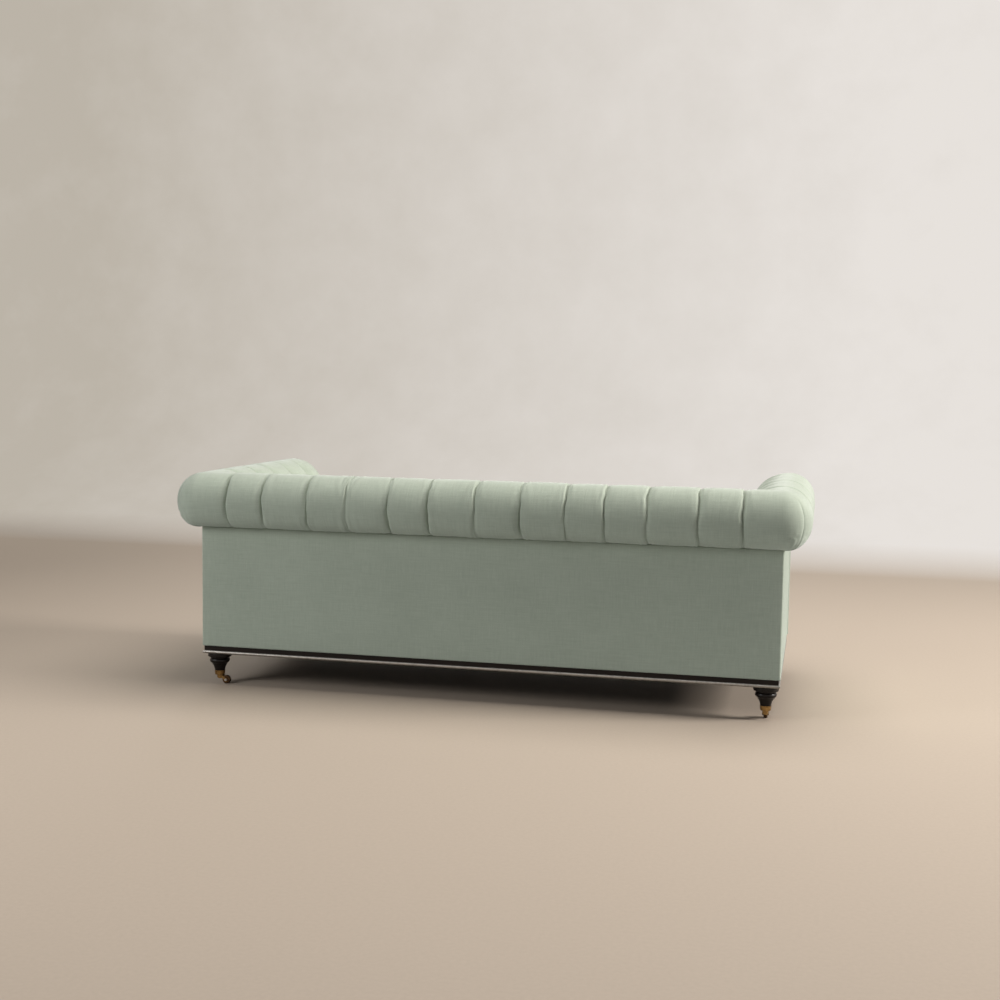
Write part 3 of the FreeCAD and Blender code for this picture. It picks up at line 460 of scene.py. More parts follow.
# Materials
class Nodes:
    """A shader tree that nodes are added to. An input is a value, or the socket that feeds it."""

    def __init__(self, tree):
        self.tree = tree

    def put(self, node, inputs):
        """Set or link a node's inputs."""
        for key, value in inputs.items():
            if isinstance(value, bpy.types.NodeSocket):
                self.tree.links.new(value, node.inputs[key])
            else:
                node.inputs[key].default_value = value

    def add(self, kind, inputs, **settings):
        """The outputs of a new node."""
        made = self.tree.nodes.new(kind)
        for key, value in settings.items():
            setattr(made, key, value)
        self.put(made, inputs)
        return made.outputs

    def math(self, operation, first, second=0.0):
        """One Math node's result."""
        return self.add("ShaderNodeMath", {0: first, 1: second}, operation=operation)[0]

    def plus(self, first, second):
        """The sum of two values."""
        return self.math("ADD", first, second)

    def times(self, first, second):
        """The product of two values."""
        return self.math("MULTIPLY", first, second)

    def parts(self, vector):
        """A vector's X, Y and Z."""
        return self.add("ShaderNodeSeparateXYZ", {0: vector})

    def turned(self, vector, rotation):
        """A vector turned about the axes."""
        return self.add("ShaderNodeMapping", {"Vector": vector, "Rotation": rotation})[0]

    def noise(self, vector, scale, detail, **more):
        """Noise at a scale."""
        return self.add("ShaderNodeTexNoise", {"Vector": vector, "Scale": scale, "Detail": detail, **more})[0]

    def stretched_noise(self, vector, stretch, detail, **more):
        """Noise with a scale of its own along each axis."""
        laid = self.add("ShaderNodeVectorMath", {0: vector, 1: stretch}, operation="MULTIPLY")
        return self.noise(laid[0], 1.0, detail, **more)

    def spread(self, value, start, end, low=0.0, high=1.0):
        """Low at start, high at end, and a straight line between them."""
        return self.add("ShaderNodeMapRange", {
            "Value": value, "From Min": start, "From Max": end, "To Min": low, "To Max": high})[0]

    def mix(self, factor, first, second, kind="RGBA"):
        """Two colours or values mixed by a factor."""
        inputs = {"Factor": factor, "A": first, "B": second}
        return self.add("ShaderNodeMix", inputs, data_type=kind)["Result"]

    def bump(self, height, strength, distance):
        """A normal that follows a height."""
        return self.add("ShaderNodeBump", {"Height": height, "Strength": strength, "Distance": distance})[0]

    def group(self, tree, inputs):
        """The outputs of a node group."""
        return self.add("ShaderNodeGroup", inputs, node_tree=tree)


def new_group(name, inputs, outputs):
    """A shader node group with named sockets. Returns its nodes, its input sockets and its output node."""
    tree = bpy.data.node_groups.new(name, "ShaderNodeTree")
    for label, kind, value in inputs:
        socket = tree.interface.new_socket(label, in_out="INPUT", socket_type=f"NodeSocket{kind}")
        if value is not None:
            socket.default_value = value
    for label, kind in outputs:
        tree.interface.new_socket(label, in_out="OUTPUT", socket_type=f"NodeSocket{kind}")
    entry = tree.nodes.new("NodeGroupInput")
    return Nodes(tree), entry.outputs, tree.nodes.new("NodeGroupOutput")


def cloth_group():
    """Woven cloth: two crossed sines make the threads, stretched noise makes slubs along both, and a broad
    noise makes cloudy tone. The threads also lighten the tone on their crests and darken it between them,
    which is painted shade. Puts out a colour between two tones and a height."""
    nodes, given, ending = new_group(
        "woven_cloth",
        [("Vector", "Vector", None), ("Cloud Vector", "Vector", None), ("Thread", "Float", 700.0),
         ("Slub", "Float", 0.5), ("Pale", "Color", None), ("Deep", "Color", None)],
        [("Color", "Color"), ("Height", "Float")])
    parts = nodes.parts(given["Vector"])
    turns = nodes.times(given["Thread"], math.pi)
    warp = nodes.math("SINE", nodes.times(parts[0], turns))
    weft = nodes.math("SINE", nodes.times(parts[1], turns))
    threads = nodes.times(nodes.math("ABSOLUTE", warp), nodes.math("ABSOLUTE", weft))
    stretches = ((900.0, 45.0, 0.0), (40.0, 800.0, 0.0), (260.0, 14.0, 0.0), (11.0, 230.0, 0.0))
    slubs = [nodes.stretched_noise(given["Vector"], stretch, 2.0) for stretch in stretches]
    slub = nodes.times(nodes.plus(slubs[0], slubs[1]), 0.5)
    broad = nodes.math("SUBTRACT", nodes.plus(slubs[2], slubs[3]), 1.0)
    cloud = nodes.noise(given["Cloud Vector"], 5.0, 3.0, Roughness=0.6)
    uneven = nodes.times(nodes.math("SUBTRACT", slub, 0.5), given["Slub"])
    uneven = nodes.plus(uneven, nodes.times(nodes.times(broad, 0.62), given["Slub"]))
    tone = nodes.plus(nodes.times(cloud, 0.55), uneven)
    # painted shade: the tone is lighter on the threads' crests and darker between them
    tone = nodes.plus(tone, nodes.times(threads, 0.30))
    nodes.put(ending, {
        "Color": nodes.mix(tone, given["Deep"], given["Pale"]),
        "Height": nodes.plus(nodes.times(threads, 0.5), slub)})
    return nodes.tree


def timber_group():
    """Straight-grained timber: noise stretched along the grain bends fine bands, and pores darken them. Puts
    out a colour between two tones, a gloss mask of handling marks and a height."""
    nodes, given, ending = new_group(
        "straight_timber",
        [("Vector", "Vector", None), ("Pale", "Color", None), ("Deep", "Color", None)],
        [("Color", "Color"), ("Marks", "Float"), ("Height", "Float")])
    figure = nodes.stretched_noise(given["Vector"], (6.0, 60.0, 60.0), 5.0, Distortion=0.6)
    pores = nodes.stretched_noise(given["Vector"], (25.0, 900.0, 900.0), 2.0)
    tone = nodes.plus(nodes.times(figure, 0.75), nodes.times(pores, 0.25))
    nodes.put(ending, {
        "Color": nodes.mix(nodes.spread(tone, 0.3, 0.7), given["Deep"], given["Pale"]),
        "Marks": nodes.noise(given["Vector"], 38.0, 4.0),
        "Height": pores})
    return nodes.tree


def metal_group():
    """Handled metal: broad noise makes tarnish and fine noise makes rubbing. Puts out a colour between two
    tones, a roughness and a height."""
    nodes, given, ending = new_group(
        "handled_metal",
        [("Vector", "Vector", None), ("Bright", "Color", None), ("Dull", "Color", None),
         ("Polish", "Float", 0.25)],
        [("Color", "Color"), ("Roughness", "Float"), ("Height", "Float")])
    tarnish = nodes.spread(nodes.noise(given["Vector"], 70.0, 5.0, Roughness=0.65), 0.35, 0.68)
    nodes.put(ending, {
        "Color": nodes.mix(tarnish, given["Bright"], given["Dull"]),
        "Roughness": nodes.plus(given["Polish"], nodes.times(tarnish, 0.28)),
        "Height": nodes.noise(given["Vector"], 900.0, 2.0)})
    return nodes.tree


WOVEN_CLOTH = cloth_group()
STRAIGHT_TIMBER = timber_group()
HANDLED_METAL = metal_group()


def new_material(name):
    """A material with its nodes, its shader and its texture coordinates."""
    material = bpy.data.materials.new(name)
    material.use_nodes = True
    nodes = Nodes(material.node_tree)
    return material, nodes, nodes.tree.nodes["Principled BSDF"], nodes.add("ShaderNodeTexCoord", {})


def cloth_material(name, pale, deep, thread, slub, sheen, bump=0.5):
    """Woven cloth on the piece's own UV map, in metres, with a plain sheen."""
    material, nodes, shader, coordinates = new_material(name)
    weave = nodes.group(WOVEN_CLOTH, {
        "Vector": coordinates["UV"], "Cloud Vector": coordinates["Object"], "Thread": thread, "Slub": slub,
        "Pale": (*pale, 1), "Deep": (*deep, 1)})
    nodes.put(shader, {
        "Base Color": weave["Color"], "Roughness": 0.88, "Specular IOR Level": 0.25, "Sheen Weight": sheen,
        "Sheen Roughness": 0.42, "Normal": nodes.bump(weave["Height"], bump, 0.0006)})
    return material


def wood_material(name, pale, deep, roughness, coat, along=(0.0, 0.0, 0.0), shine=0.5):
    """Timber on Object coordinates, turned so that the grain follows the piece, under a plain coat of
    polish."""
    material, nodes, shader, coordinates = new_material(name)
    grain = nodes.group(STRAIGHT_TIMBER, {
        "Vector": nodes.turned(coordinates["Object"], along), "Pale": (*pale, 1), "Deep": (*deep, 1)})
    nodes.put(shader, {
        "Base Color": grain["Color"],
        "Roughness": nodes.spread(grain["Marks"], 0.3, 0.7, roughness * 0.8, roughness * 1.3),
        "Specular IOR Level": shine, "Coat Weight": coat, "Coat Roughness": 0.12,
        "Normal": nodes.bump(grain["Height"], 0.25, 0.0004)})
    return material


def plinth_material(name, along):
    """Black timber over an edging bead of metal: the timber's and the metal's groups, mixed by the height
    and by the distance from the middle of the base, so that only its outer strip is metal."""
    material, nodes, shader, coordinates = new_material(name)
    grain = nodes.group(STRAIGHT_TIMBER, {
        "Vector": nodes.turned(coordinates["Object"], along),
        "Pale": (0.010, 0.006, 0.005, 1), "Deep": (0.004, 0.0025, 0.002, 1)})
    edging = nodes.group(HANDLED_METAL, {
        "Vector": coordinates["Object"], "Bright": (0.34, 0.325, 0.305, 1), "Dull": (0.26, 0.25, 0.235, 1),
        "Polish": 0.34})
    place = nodes.parts(coordinates["Object"])
    middle = (base_low + base_high) / 2
    half = (base_high - base_low) / 2
    outer = []
    for axis in (0, 1):
        away = nodes.math("ABSOLUTE", nodes.math("SUBTRACT", place[axis], middle[axis]))
        outer.append(nodes.math("GREATER_THAN", away, half[axis] - BEAD_DEPTH))
    bead = nodes.times(nodes.math("MAXIMUM", *outer), nodes.math("LESS_THAN", place[2], BEAD_TOP))
    grained = nodes.times(grain["Height"], nodes.math("SUBTRACT", 1.0, bead))
    nodes.put(shader, {
        "Base Color": nodes.mix(bead, grain["Color"], edging["Color"]),
        "Roughness": nodes.mix(bead, 0.4, edging["Roughness"], "FLOAT"),
        "Metallic": bead, "Specular IOR Level": 0.2, "Normal": nodes.bump(grained, 0.2, 0.0003)})
    return material


def metal_material(name, bright, dull, polish):
    """Handled metal on Object coordinates."""
    material, nodes, shader, coordinates = new_material(name)
    worn = nodes.group(HANDLED_METAL, {
        "Vector": coordinates["Object"], "Bright": (*bright, 1), "Dull": (*dull, 1), "Polish": polish})
    nodes.put(shader, {
        "Base Color": worn["Color"], "Roughness": worn["Roughness"], "Metallic": 1.0,
        "Normal": nodes.bump(worn["Height"], 0.12, 0.0002)})
    return material


UPRIGHT_GRAIN = (0.0, math.radians(90), 0.0)
CROSS_GRAIN = (0.0, 0.0, math.radians(90))
sage_cloth = cloth_material("sage_cloth", (0.476, 0.527, 0.432), (0.360, 0.405, 0.325), 700.0, 1.2, 0.38)
piping_cloth = cloth_material("piping_cloth", (0.466, 0.516, 0.424), (0.352, 0.396, 0.319), 900.0, 0.6, 0.30)
deck_cloth = cloth_material("deck_cloth", (0.20, 0.215, 0.175), (0.13, 0.14, 0.115), 500.0, 0.6, 0.05)
dust_cloth = cloth_material("dust_cloth", (0.02, 0.02, 0.02), (0.008, 0.008, 0.008), 450.0, 0.5, 0.03)
jute_webbing = cloth_material("jute_webbing", (0.30, 0.22, 0.12), (0.19, 0.13, 0.07), 260.0, 0.7, 0.0, 0.8)
polished_rail = plinth_material("polished_rail", (0.0, 0.0, 0.0))
polished_side = plinth_material("polished_side", CROSS_GRAIN)
polished_leg = wood_material(
    "polished_leg", (0.009, 0.0055, 0.004), (0.003, 0.002, 0.0016), 0.34, 0.10, UPRIGHT_GRAIN, 0.16)
sawn_beech = wood_material("sawn_beech", (0.50, 0.33, 0.18), (0.36, 0.22, 0.11), 0.65, 0.0)
aged_brass = metal_material("aged_brass", (0.40, 0.25, 0.095), (0.13, 0.075, 0.03), 0.26)
dark_bronze = metal_material("dark_bronze", (0.13, 0.075, 0.035), (0.035, 0.02, 0.012), 0.3)
bright_steel = metal_material("bright_steel", (0.56, 0.56, 0.55), (0.33, 0.32, 0.31), 0.3)

# A CAD node takes the first finish whose word starts its name, and beech if there is none
FINISHES = {
    "plinth_front": polished_rail, "plinth_back": polished_rail, "plinth": polished_side,
    "leg_bolts": bright_steel, "leg_blocks": sawn_beech, "leg": polished_leg,
    "caster_axle": bright_steel, "caster_wheel": dark_bronze, "caster": aged_brass,
    "seat_springs": bright_steel, "spring_clips": bright_steel, "webbing_straps": jute_webbing}
for node_name, node_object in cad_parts.items():
    fitting = [finish for start, finish in FINISHES.items() if node_name.startswith(start)]
    node_object.data.materials.clear()
    node_object.data.materials.append((fitting + [sawn_beech])[0])


# Stuffed back and arms
def corner_squeeze(run, start, full, ends):
    """Draw the run in near an inside corner: past start, the stretch up to full is scaled to stop at
    ends."""
    past = np.maximum(np.abs(run) - start, 0)
    return np.sign(run) * (np.minimum(np.abs(run), start) + past * (ends - start) / (full - start))


def corner_ends(other, full, out, up):
    """Where each row stops at the inside corner: on the other piece's face, with a lap past it that fades at
    the top. Rows on the outside run the full length."""
    inward = np.maximum(-out, 0)
    ends = full - other.reach(up) + LAP * np.clip(inward / 0.06, 0, 1)
    return np.where(out < 0, np.minimum(ends, full), full)


def corner_marks(turn, t):
    """The full, sewn end of a rear corner: a bulge on the lower half of the roll that grows with the sine of
    twice the turn, a narrow mitre crease where the fan reaches 45 degrees, a few radial sine ripples under
    it and two small round tucks."""
    swing = np.sin(2 * np.minimum(turn, MITRE_TURN))
    bulge = swing ** 2 * bell(t, SAG_PLACE, CORNER_BULGE_WIDTH)
    seam = np.exp(-np.abs(turn - MITRE_TURN) * ROLL_RADIUS / MITRE_WIDTH)
    span = smooth_step(*MITRE_START, t) * (1 - smooth_step(*MITRE_END, t))
    ripples = np.sin(turn * 26 + 9 * t) * bell(t, 0.085, 0.035) * swing
    tucks = sum(np.exp(-((turn - at_turn) * ROLL_RADIUS / TUCK_WIDTH) ** 2 - ((t - at_t) / TUCK_HEIGHT) ** 2)
                for at_turn, at_t in TUCKS)
    return CORNER_BULGE * bulge - MITRE_DEPTH * seam * span + CORNER_RIPPLE * ripples - TUCK_DEPTH * tucks


def stuffed_relief(section, lattice, run, t, turn, out, to_corner, seed):
    """All the relief of a stuffed piece: its tufts, a seeded unevenness and its rear corners' marks, less an
    exponential tuck where a row on the inside comes to its corner."""
    relief = tufted_relief(section, lattice, t)
    relief = relief + UNEVEN_HEIGHT * unevenness(run, t, UNEVEN_SIZE, seed) + corner_marks(np.abs(turn), t)
    tucked = np.where(out < 0, np.exp(-np.maximum(to_corner, 0) / CORNER_TUCK_FADE), 0)
    return relief - CORNER_TUCK * tucked * smooth_step(0, 0.06, -out)


def stuffed_grid(section, run, drift, turn, t, relief):
    """Points of a stuffed piece in its own frame (along, out, up), and their UV.

    The section is moved along its normal by the relief. Past the end of the straight run it swings by an
    angle round the roll's upright end axis. Two hidden rows close it behind the stuffing: the foot and the
    roll's base on the webbing plane.
    """
    out, up, normal_out, normal_up = section.at(t)
    reach = out + normal_out * relief
    along = run + drift + np.where(reach > 0, reach, 0) * np.sin(turn)
    outward = np.where(reach > 0, reach * np.cos(turn), reach)
    points = joined(along, outward, up + normal_up * relief)
    foot = points[-1:].copy()
    foot[..., 1] = -WEB_SETBACK
    foot[..., 2] = DECK
    base = foot.copy()
    base[..., 2] = TOP - 2 * ROLL_RADIUS
    uv = joined(run + ROLL_RADIUS * turn, t)
    uv = np.concatenate([uv, uv[-1:] + (0, 0.1), uv[-1:] + (0, 0.4)])
    return np.moveaxis(np.concatenate([points, foot, base]), -1, 0), uv


def stuffed_piece(name, x, y, z, uv):
    """A closed grid of rows round the section, with its two ends capped."""
    numbers = grid_numbers(*x.shape)
    caps = [numbers[:, 0], numbers[::-1, -1]]
    return grid_piece(name, joined(x, y, z), uv, sage_cloth, caps, closed=True)


def back_stuffing():
    """The back's stuffing: columns along X with a fan round each rear corner, rows round the section. Inside
    the corners the rows stop at the arms."""
    pitch = BACK_PLEATS.pitch
    end = ROLL_X / pitch
    straight = fold_columns(-end, end)
    place = np.concatenate([np.full(len(FAN), -end), straight, np.full(len(FAN), end)])[None]
    turn = np.concatenate([-FAN[::-1], np.zeros(len(straight)), FAN])[None]
    place, turn, t = np.broadcast_arrays(place, turn, BACK.steps()[:, None])
    out, up = BACK.at(t)[:2]
    even = np.arange(-BACK_MIDDLE, BACK_MIDDLE + 1)
    knots = np.concatenate([[-end], even, [end]])
    drifts = np.concatenate([[0], BACK_PLEAT_X - pitch * even, [0]])
    drift = np.interp(place, knots, drifts) * (1 - smooth_step(BACK.roll_length, BACK.rows[0], t))
    ends = corner_ends(ARM, ROLL_X, out, up)
    run = corner_squeeze(place * pitch, BACK_SQUEEZE_X, ROLL_X, ends)
    lattice = run / pitch + BACK_MIDDLE
    drift = drift + pleat_wander(BACK, lattice, t)
    relief = stuffed_relief(BACK, lattice, run, t, turn, out, ends - np.abs(run), 5)
    (along, outward, height), uv = stuffed_grid(BACK, run, drift, turn, t, relief)
    return stuffed_piece("back_stuffing", along, ROLL_Y + outward, height, uv)


def arm_stuffing(name, side):
    """An arm's stuffing: columns along Y from the facing to the fan round the rear corner. Its front edge is
    rounded over by a quarter circle."""
    pitch = ARM_PLEATS.pitch
    start = (FRONT_PLANE - ARM_FIRST_PLEAT) / pitch
    end = (ROLL_Y - ARM_FIRST_PLEAT) / pitch
    lip = start + quarter_stops(EDGE_RADIUS / pitch, EDGE_ROWS)
    straight = np.concatenate([lip[:-1], fold_columns(lip[-1], end)])
    place = np.concatenate([straight, np.full(len(FAN), end)])[None]
    turn = np.concatenate([np.zeros(len(straight)), FAN])[None]
    place, turn, t = np.broadcast_arrays(place, turn, ARM.steps()[:, None])
    out, up = ARM.at(t)[:2]
    ends = corner_ends(BACK, ROLL_Y, out, up)
    y = ARM_FIRST_PLEAT + pitch * place
    drawn = ARM_SQUEEZE_Y + (y - ARM_SQUEEZE_Y) * (ends - ARM_SQUEEZE_Y) / (ROLL_Y - ARM_SQUEEZE_Y)
    run = np.where(y > ARM_SQUEEZE_Y, drawn, y)
    lattice = (run - ARM_FIRST_PLEAT) / pitch
    relief = stuffed_relief(ARM, lattice, run, t, turn, out, ends - run, 11 + side)
    from_front = y - FRONT_PLANE
    relief = relief * (FRONT_RELIEF + (1 - FRONT_RELIEF) * smooth_step(*FRONT_CALM, from_front))
    relief = relief - edge_drop(from_front, EDGE_RADIUS)
    drift = pleat_wander(ARM, lattice, t)
    (along, outward, height), uv = stuffed_grid(ARM, run, drift, turn, t, relief)
    return stuffed_piece(name, side * (ROLL_X + outward), along, height, uv)


dress(back_stuffing(), "sofa", "sage_fabric", "inside_back", fill=0.9)
for side, side_name in SIDES:
    arm_piece = arm_stuffing(f"arm_stuffing_{side_name}", side)
    dress(arm_piece, "sofa", "sage_fabric", f"inside_arm_{side_name}", fill=0.9)


# Covered buttons
def button_dome():
    """One covered button about its own axis: rings of a flattened dome, (radius, height), turned round."""
    radius = BUTTON_RADIUS * np.array([1.0, 1.0, 0.94, 0.78, 0.52, 0.26, 0.0])[:, None]
    height = np.array([-0.0105, 0.0005, 0.0028, 0.0046, 0.0058, 0.0064, 0.0066])[:, None]
    angle = np.linspace(0, 2 * math.pi, 17)
    return np.broadcast_arrays(radius * np.cos(angle), radius * np.sin(angle), height)


def button_spots(section, first, count):
    """Each button's (place, out, up, normal out, normal up): on the tufted face, where the folds cross, from
    the first place on. The middle row lies half a pitch along."""
    spots = []
    for row, shift in zip(section.rows, (0, 0.5, 0)):
        along = np.arange(count) + shift
        along = along[along >= first]
        t = np.full(len(along), row)
        out, up, normal_out, normal_up = section.at(t)
        deep = tufted_relief(section, along, t) + BUTTON_SEAT
        spots.append(joined(along, out + normal_out * deep, up + normal_up * deep, normal_out, normal_up))
    return np.moveaxis(np.concatenate(spots), 1, 0)[..., None, None]


def covered_buttons():
    """All the buttons in one mesh: the dome set on each spot, with its axis along the face's normal."""
    across, along, rise = button_dome()
    place, out, up, normal_out, normal_up = button_spots(BACK, 0.5, 12)
    x = (place - BACK_MIDDLE) * BACK_PLEATS.pitch + across
    y = ROLL_Y + out + (along * -normal_up + rise * normal_out)
    sets = [joined(x, y, up + along * normal_out + rise * normal_up)]
    place, out, up, normal_out, normal_up = button_spots(ARM, 0, 4)
    for side, _ in SIDES:
        x = side * (ROLL_X + out + (along * -normal_up + rise * normal_out))
        y = ARM_FIRST_PLEAT + place * ARM_PLEATS.pitch + across
        sets.append(joined(x, y, up + along * normal_out + rise * normal_up))
    skirt = np.arange(across.shape[1] - 1)
    return repeated_piece(
        "covered_buttons", np.concatenate(sets), joined(across, along), sage_cloth, [skirt])


dress(covered_buttons(), "sofa", "sage_fabric", "tufting_buttons")


# Flat covered panels
def edge_stops(length, radius):
    """Places along a side: seven on the quarter circle of each rounded edge and even ones between."""
    edge = quarter_stops(radius, EDGE_ROWS)
    middle = np.linspace(radius, length - radius, max(int(length / PANEL_STEP), 3))
    return np.concatenate([edge[:-1], middle, length - edge[-2::-1]])


def covered_panel(
        name, node, axis, facing, seed, radius=EDGE_RADIUS, crown=0.002, wider=0.0, cloth=sage_cloth):
    """A CAD node's flat board covered with cloth: a grid over its two long sides, which falls away by a
    quarter circle at the edges, swells by a quartic crown and waves a little, closed by its flat back."""
    low, high = corners_of(node)
    low[0] -= wider
    high[0] += wider
    first, second = [number for number in range(3) if number != axis]
    width, height = high[first] - low[first], high[second] - low[second]
    u, v = np.meshgrid(edge_stops(width, radius), edge_stops(height, radius))
    in_u = np.minimum(u, width - u)
    in_v = np.minimum(v, height - v)
    past = np.hypot(np.clip(radius - in_u, 0, radius), np.clip(radius - in_v, 0, radius))
    swell = crown * (1 - (2 * u / width - 1) ** 4) * (1 - (2 * v / height - 1) ** 4)
    fade = np.clip(np.minimum(in_u, in_v) / PANEL_WAVE_FADE, 0, 1)
    wave = PANEL_WAVE * unevenness(u, v, PANEL_WAVE_SIZE, seed) * fade
    front, behind = (high, low) if facing > 0 else (low, high)
    points = np.empty(u.shape + (3,))
    points[..., first] = low[first] + u
    points[..., second] = low[second] + v
    points[..., axis] = front[axis] + facing * (swell + wave - circle_drop(past, radius))
    return backed_piece(name, points, points[..., [first, second]], axis, behind[axis], cloth)


outside_back = covered_panel("outside_back_cloth", "outside_back_panel", 1, 1, 21)
dress(outside_back, "sofa", "sage_fabric", "outside_back_panel")
for side, side_name in SIDES:
    node_name = f"outside_arm_panel_{side_name}"
    outside_arm = covered_panel(f"outside_arm_cloth_{side_name}", node_name, 0, side, 23 + side)
    dress(outside_arm, "sofa", "sage_fabric", node_name)
border = covered_panel(
    "front_border_cloth", "front_border", 1, -1, 29, radius=0.008, crown=0.003, wider=0.0125)
dress(border, "sofa", "sage_fabric", "front_border", fill=0.7)
deck = covered_panel("deck_felt", "deck_pad", 2, 1, 31, crown=0.0, cloth=deck_cloth)
dress(deck, "sofa", "deck_cloth", "deck_pad", fill=0.8)


# Arm facings and their piping
def facing_edges(up):
    """Inner and outer edge of a facing at each height: the leaning face and crest inside, the side panel's
    plane and the roll's circle outside."""
    foot = FACING.reach(np.array(DECK))
    inner = np.where(up < DECK, ROLL_X - foot, ROLL_X - FACING.reach(up))
    rise = np.clip(up - ROLL_Z, -FACING.roll_radius, FACING.roll_radius)
    circle = ROLL_X + np.sqrt(np.maximum(FACING.roll_radius ** 2 - rise ** 2, 0))
    plane = np.where(up < ROLL_Z, FACING_PLANE, 0)
    return inner, np.where(up < ROLL_Z - FACING.roll_radius, FACING_PLANE, np.maximum(circle, plane))


def facing_heights():
    """Row heights of a facing: close at the base's rounded edge, under the roll and round the top."""
    base = facing_low[2]
    under = ROLL_Z - FACING.roll_radius
    top_turn = np.linspace(math.asin(0.4), math.pi / 2, 22)
    return np.concatenate([
        base + quarter_stops(FACING_EDGE, 6),
        np.linspace(base + FACING_EDGE, under - 0.006, 34)[1:],
        np.linspace(under - 0.006, under + 0.02, 18)[1:],
        np.linspace(under + 0.02, ROLL_Z + 0.4 * FACING.roll_radius, 16)[1:],
        ROLL_Z + FACING.roll_radius * np.sin(top_turn)[1:]])


def facing_outline(count):
    """The facing's visible edge from the outer foot, round the roll and crest, to the inner foot, evenly
    spaced."""
    up = facing_heights()
    inner, outer = facing_edges(up)
    path = np.concatenate([joined(outer, up), joined(inner, up)[::-1]])
    lengths = lengths_along(path)
    even = np.linspace(0, lengths[-1], count)
    return joined(np.interp(even, lengths, path[:, 0]), np.interp(even, lengths, path[:, 1]))


def arm_facing(name, side):
    """A padded arm front: a grid between its two edges, whose face falls by a quarter circle near the
    outline and swells towards the middle."""
    up = facing_heights()[:, None]
    share = 0.5 - 0.5 * np.cos(np.linspace(0, math.pi, FACING_COLUMNS))[None]
    inner, outer = facing_edges(up)
    across = inner + (outer - inner) * share
    up = np.broadcast_to(up, across.shape)
    edge = facing_outline(1500)
    base = joined(np.linspace(edge[0, 0], edge[-1, 0], 200), facing_low[2])
    edge = np.concatenate([edge, base])
    gap = np.sqrt(((across[..., None] - edge[:, 0]) ** 2 + (up[..., None] - edge[:, 1]) ** 2).min(axis=-1))
    swell = FACING_SWELL * (1 - np.exp(-gap / FACING_SWELL_WIDTH))
    depth = facing_low[1] + edge_drop(gap, FACING_EDGE) - swell
    points = joined(side * across, depth, up)
    return backed_piece(name, points, joined(across, up), 1, facing_high[1], sage_cloth)


def swept_cord(path, radius, closed, swell=0.0):
    """Points and UV of a cord, and the two rings that cap it if it is open: a circle carried along a flat
    path, square to it, that swells by a sine of the length."""
    ahead = np.roll(path, -1, axis=0) - np.roll(path, 1, axis=0)
    if not closed:
        ahead[0] = path[1] - path[0]
        ahead[-1] = path[-1] - path[-2]
    ahead = unit(ahead)
    plane = np.array([0.0, 1.0, 0.0]) if np.ptp(path[:, 1]) < 1e-6 else np.array([0.0, 0.0, 1.0])
    side = unit(np.cross(ahead, plane))
    upright = np.cross(side, ahead)
    angle = np.linspace(0, 2 * math.pi, CORD_SIDES + 1)[None, :, None]
    lengths = lengths_along(path)
    girth = radius * (1 + swell * np.sin(lengths * 2 * math.pi / TWIST_LENGTH))[:, None, None]
    points = path[:, None] + girth * (np.cos(angle) * side[:, None] + np.sin(angle) * upright[:, None])
    uv = joined(lengths[:, None], radius * angle[..., 0])
    numbers = grid_numbers(*points.shape[:2])
    return points, uv, [] if closed else [numbers[0, :-1], numbers[-1, :0:-1]]


def piping(name, path, closed):
    """A covered cord sewn along a seam, with a slight sewn twist."""
    points, uv, caps = swept_cord(path, PIPING_RADIUS, closed, TWIST_SWELL)
    return grid_piece(name, points, uv, piping_cloth, caps, closed)


for side, side_name in SIDES:
    facing = arm_facing(f"arm_front_{side_name}", side)
    dress(facing, "sofa", "sage_fabric", f"arm_facing_{side_name}", fill=0.7)
    outline = facing_outline(420)
    path = joined(side * outline[:, 0], FRONT_PLANE - PIPING_PROUD, outline[:, 1])
    dress(piping(f"arm_front_piping_{side_name}", path, False), "sofa", "sage_fabric")


# Loose seat cushions
CUSHION_CROWN = 0.020
CUSHION_DRAW = 0.006
CUSHION_GRID = (46, 60)
CORNER_POWER = 14
BORDER_ROWS = 12
BORDER_BULGE = 0.003
COVER_EASE = 0.0035
OUTER_EASE = 0.006
ARM_LEAN_OUT = 0.0235
BACK_LEAN_OUT = 0.042
UNDER_EASE = 0.0045
SEAM_DROP = 0.020
FILLING_FRAMES = 20
FILLING_PRESSURE = 4.0
FILLING_CAP = 0.012
# Waves over the top: height, size and seed of each
TOP_WAVES = ((0.0020, 0.30, 41), (0.0009, 0.11, 43))
CORNER_PULL = 0.0022
PULL_FADE = 0.11
PULL_WAVES = 11


def cushion_plan(share_x, share_y, up_share):
    """Plan of a cushion: the square from -1 to 1 bent to a superellipse, then stretched to the cushion's
    sides, which lean out with the arm and the back, and drawn in between the corners by a parabola."""
    square = np.maximum(np.abs(share_x), np.abs(share_y))
    bent = (np.abs(share_x) ** CORNER_POWER + np.abs(share_y) ** CORNER_POWER) ** (1 / CORNER_POWER)
    scale = np.where(bent > 0, square / np.maximum(bent, 1e-9), 1)
    a, b = share_x * scale, share_y * scale
    inner = cover_low[0] + COVER_EASE
    outer = cover_high[0] - OUTER_EASE - ARM_LEAN_OUT * (1 - up_share)
    front = cover_low[1] + COVER_EASE
    back = cover_high[1] - OUTER_EASE - BACK_LEAN_OUT * (1 - up_share)
    half_x = (outer - inner) / 2
    half_y = (back - front) / 2
    x = (inner + outer) / 2 + a * (half_x - CUSHION_DRAW * (1 - b ** 2))
    y = (front + back) / 2 + b * (half_y - CUSHION_DRAW * (1 - a ** 2))
    return x, y


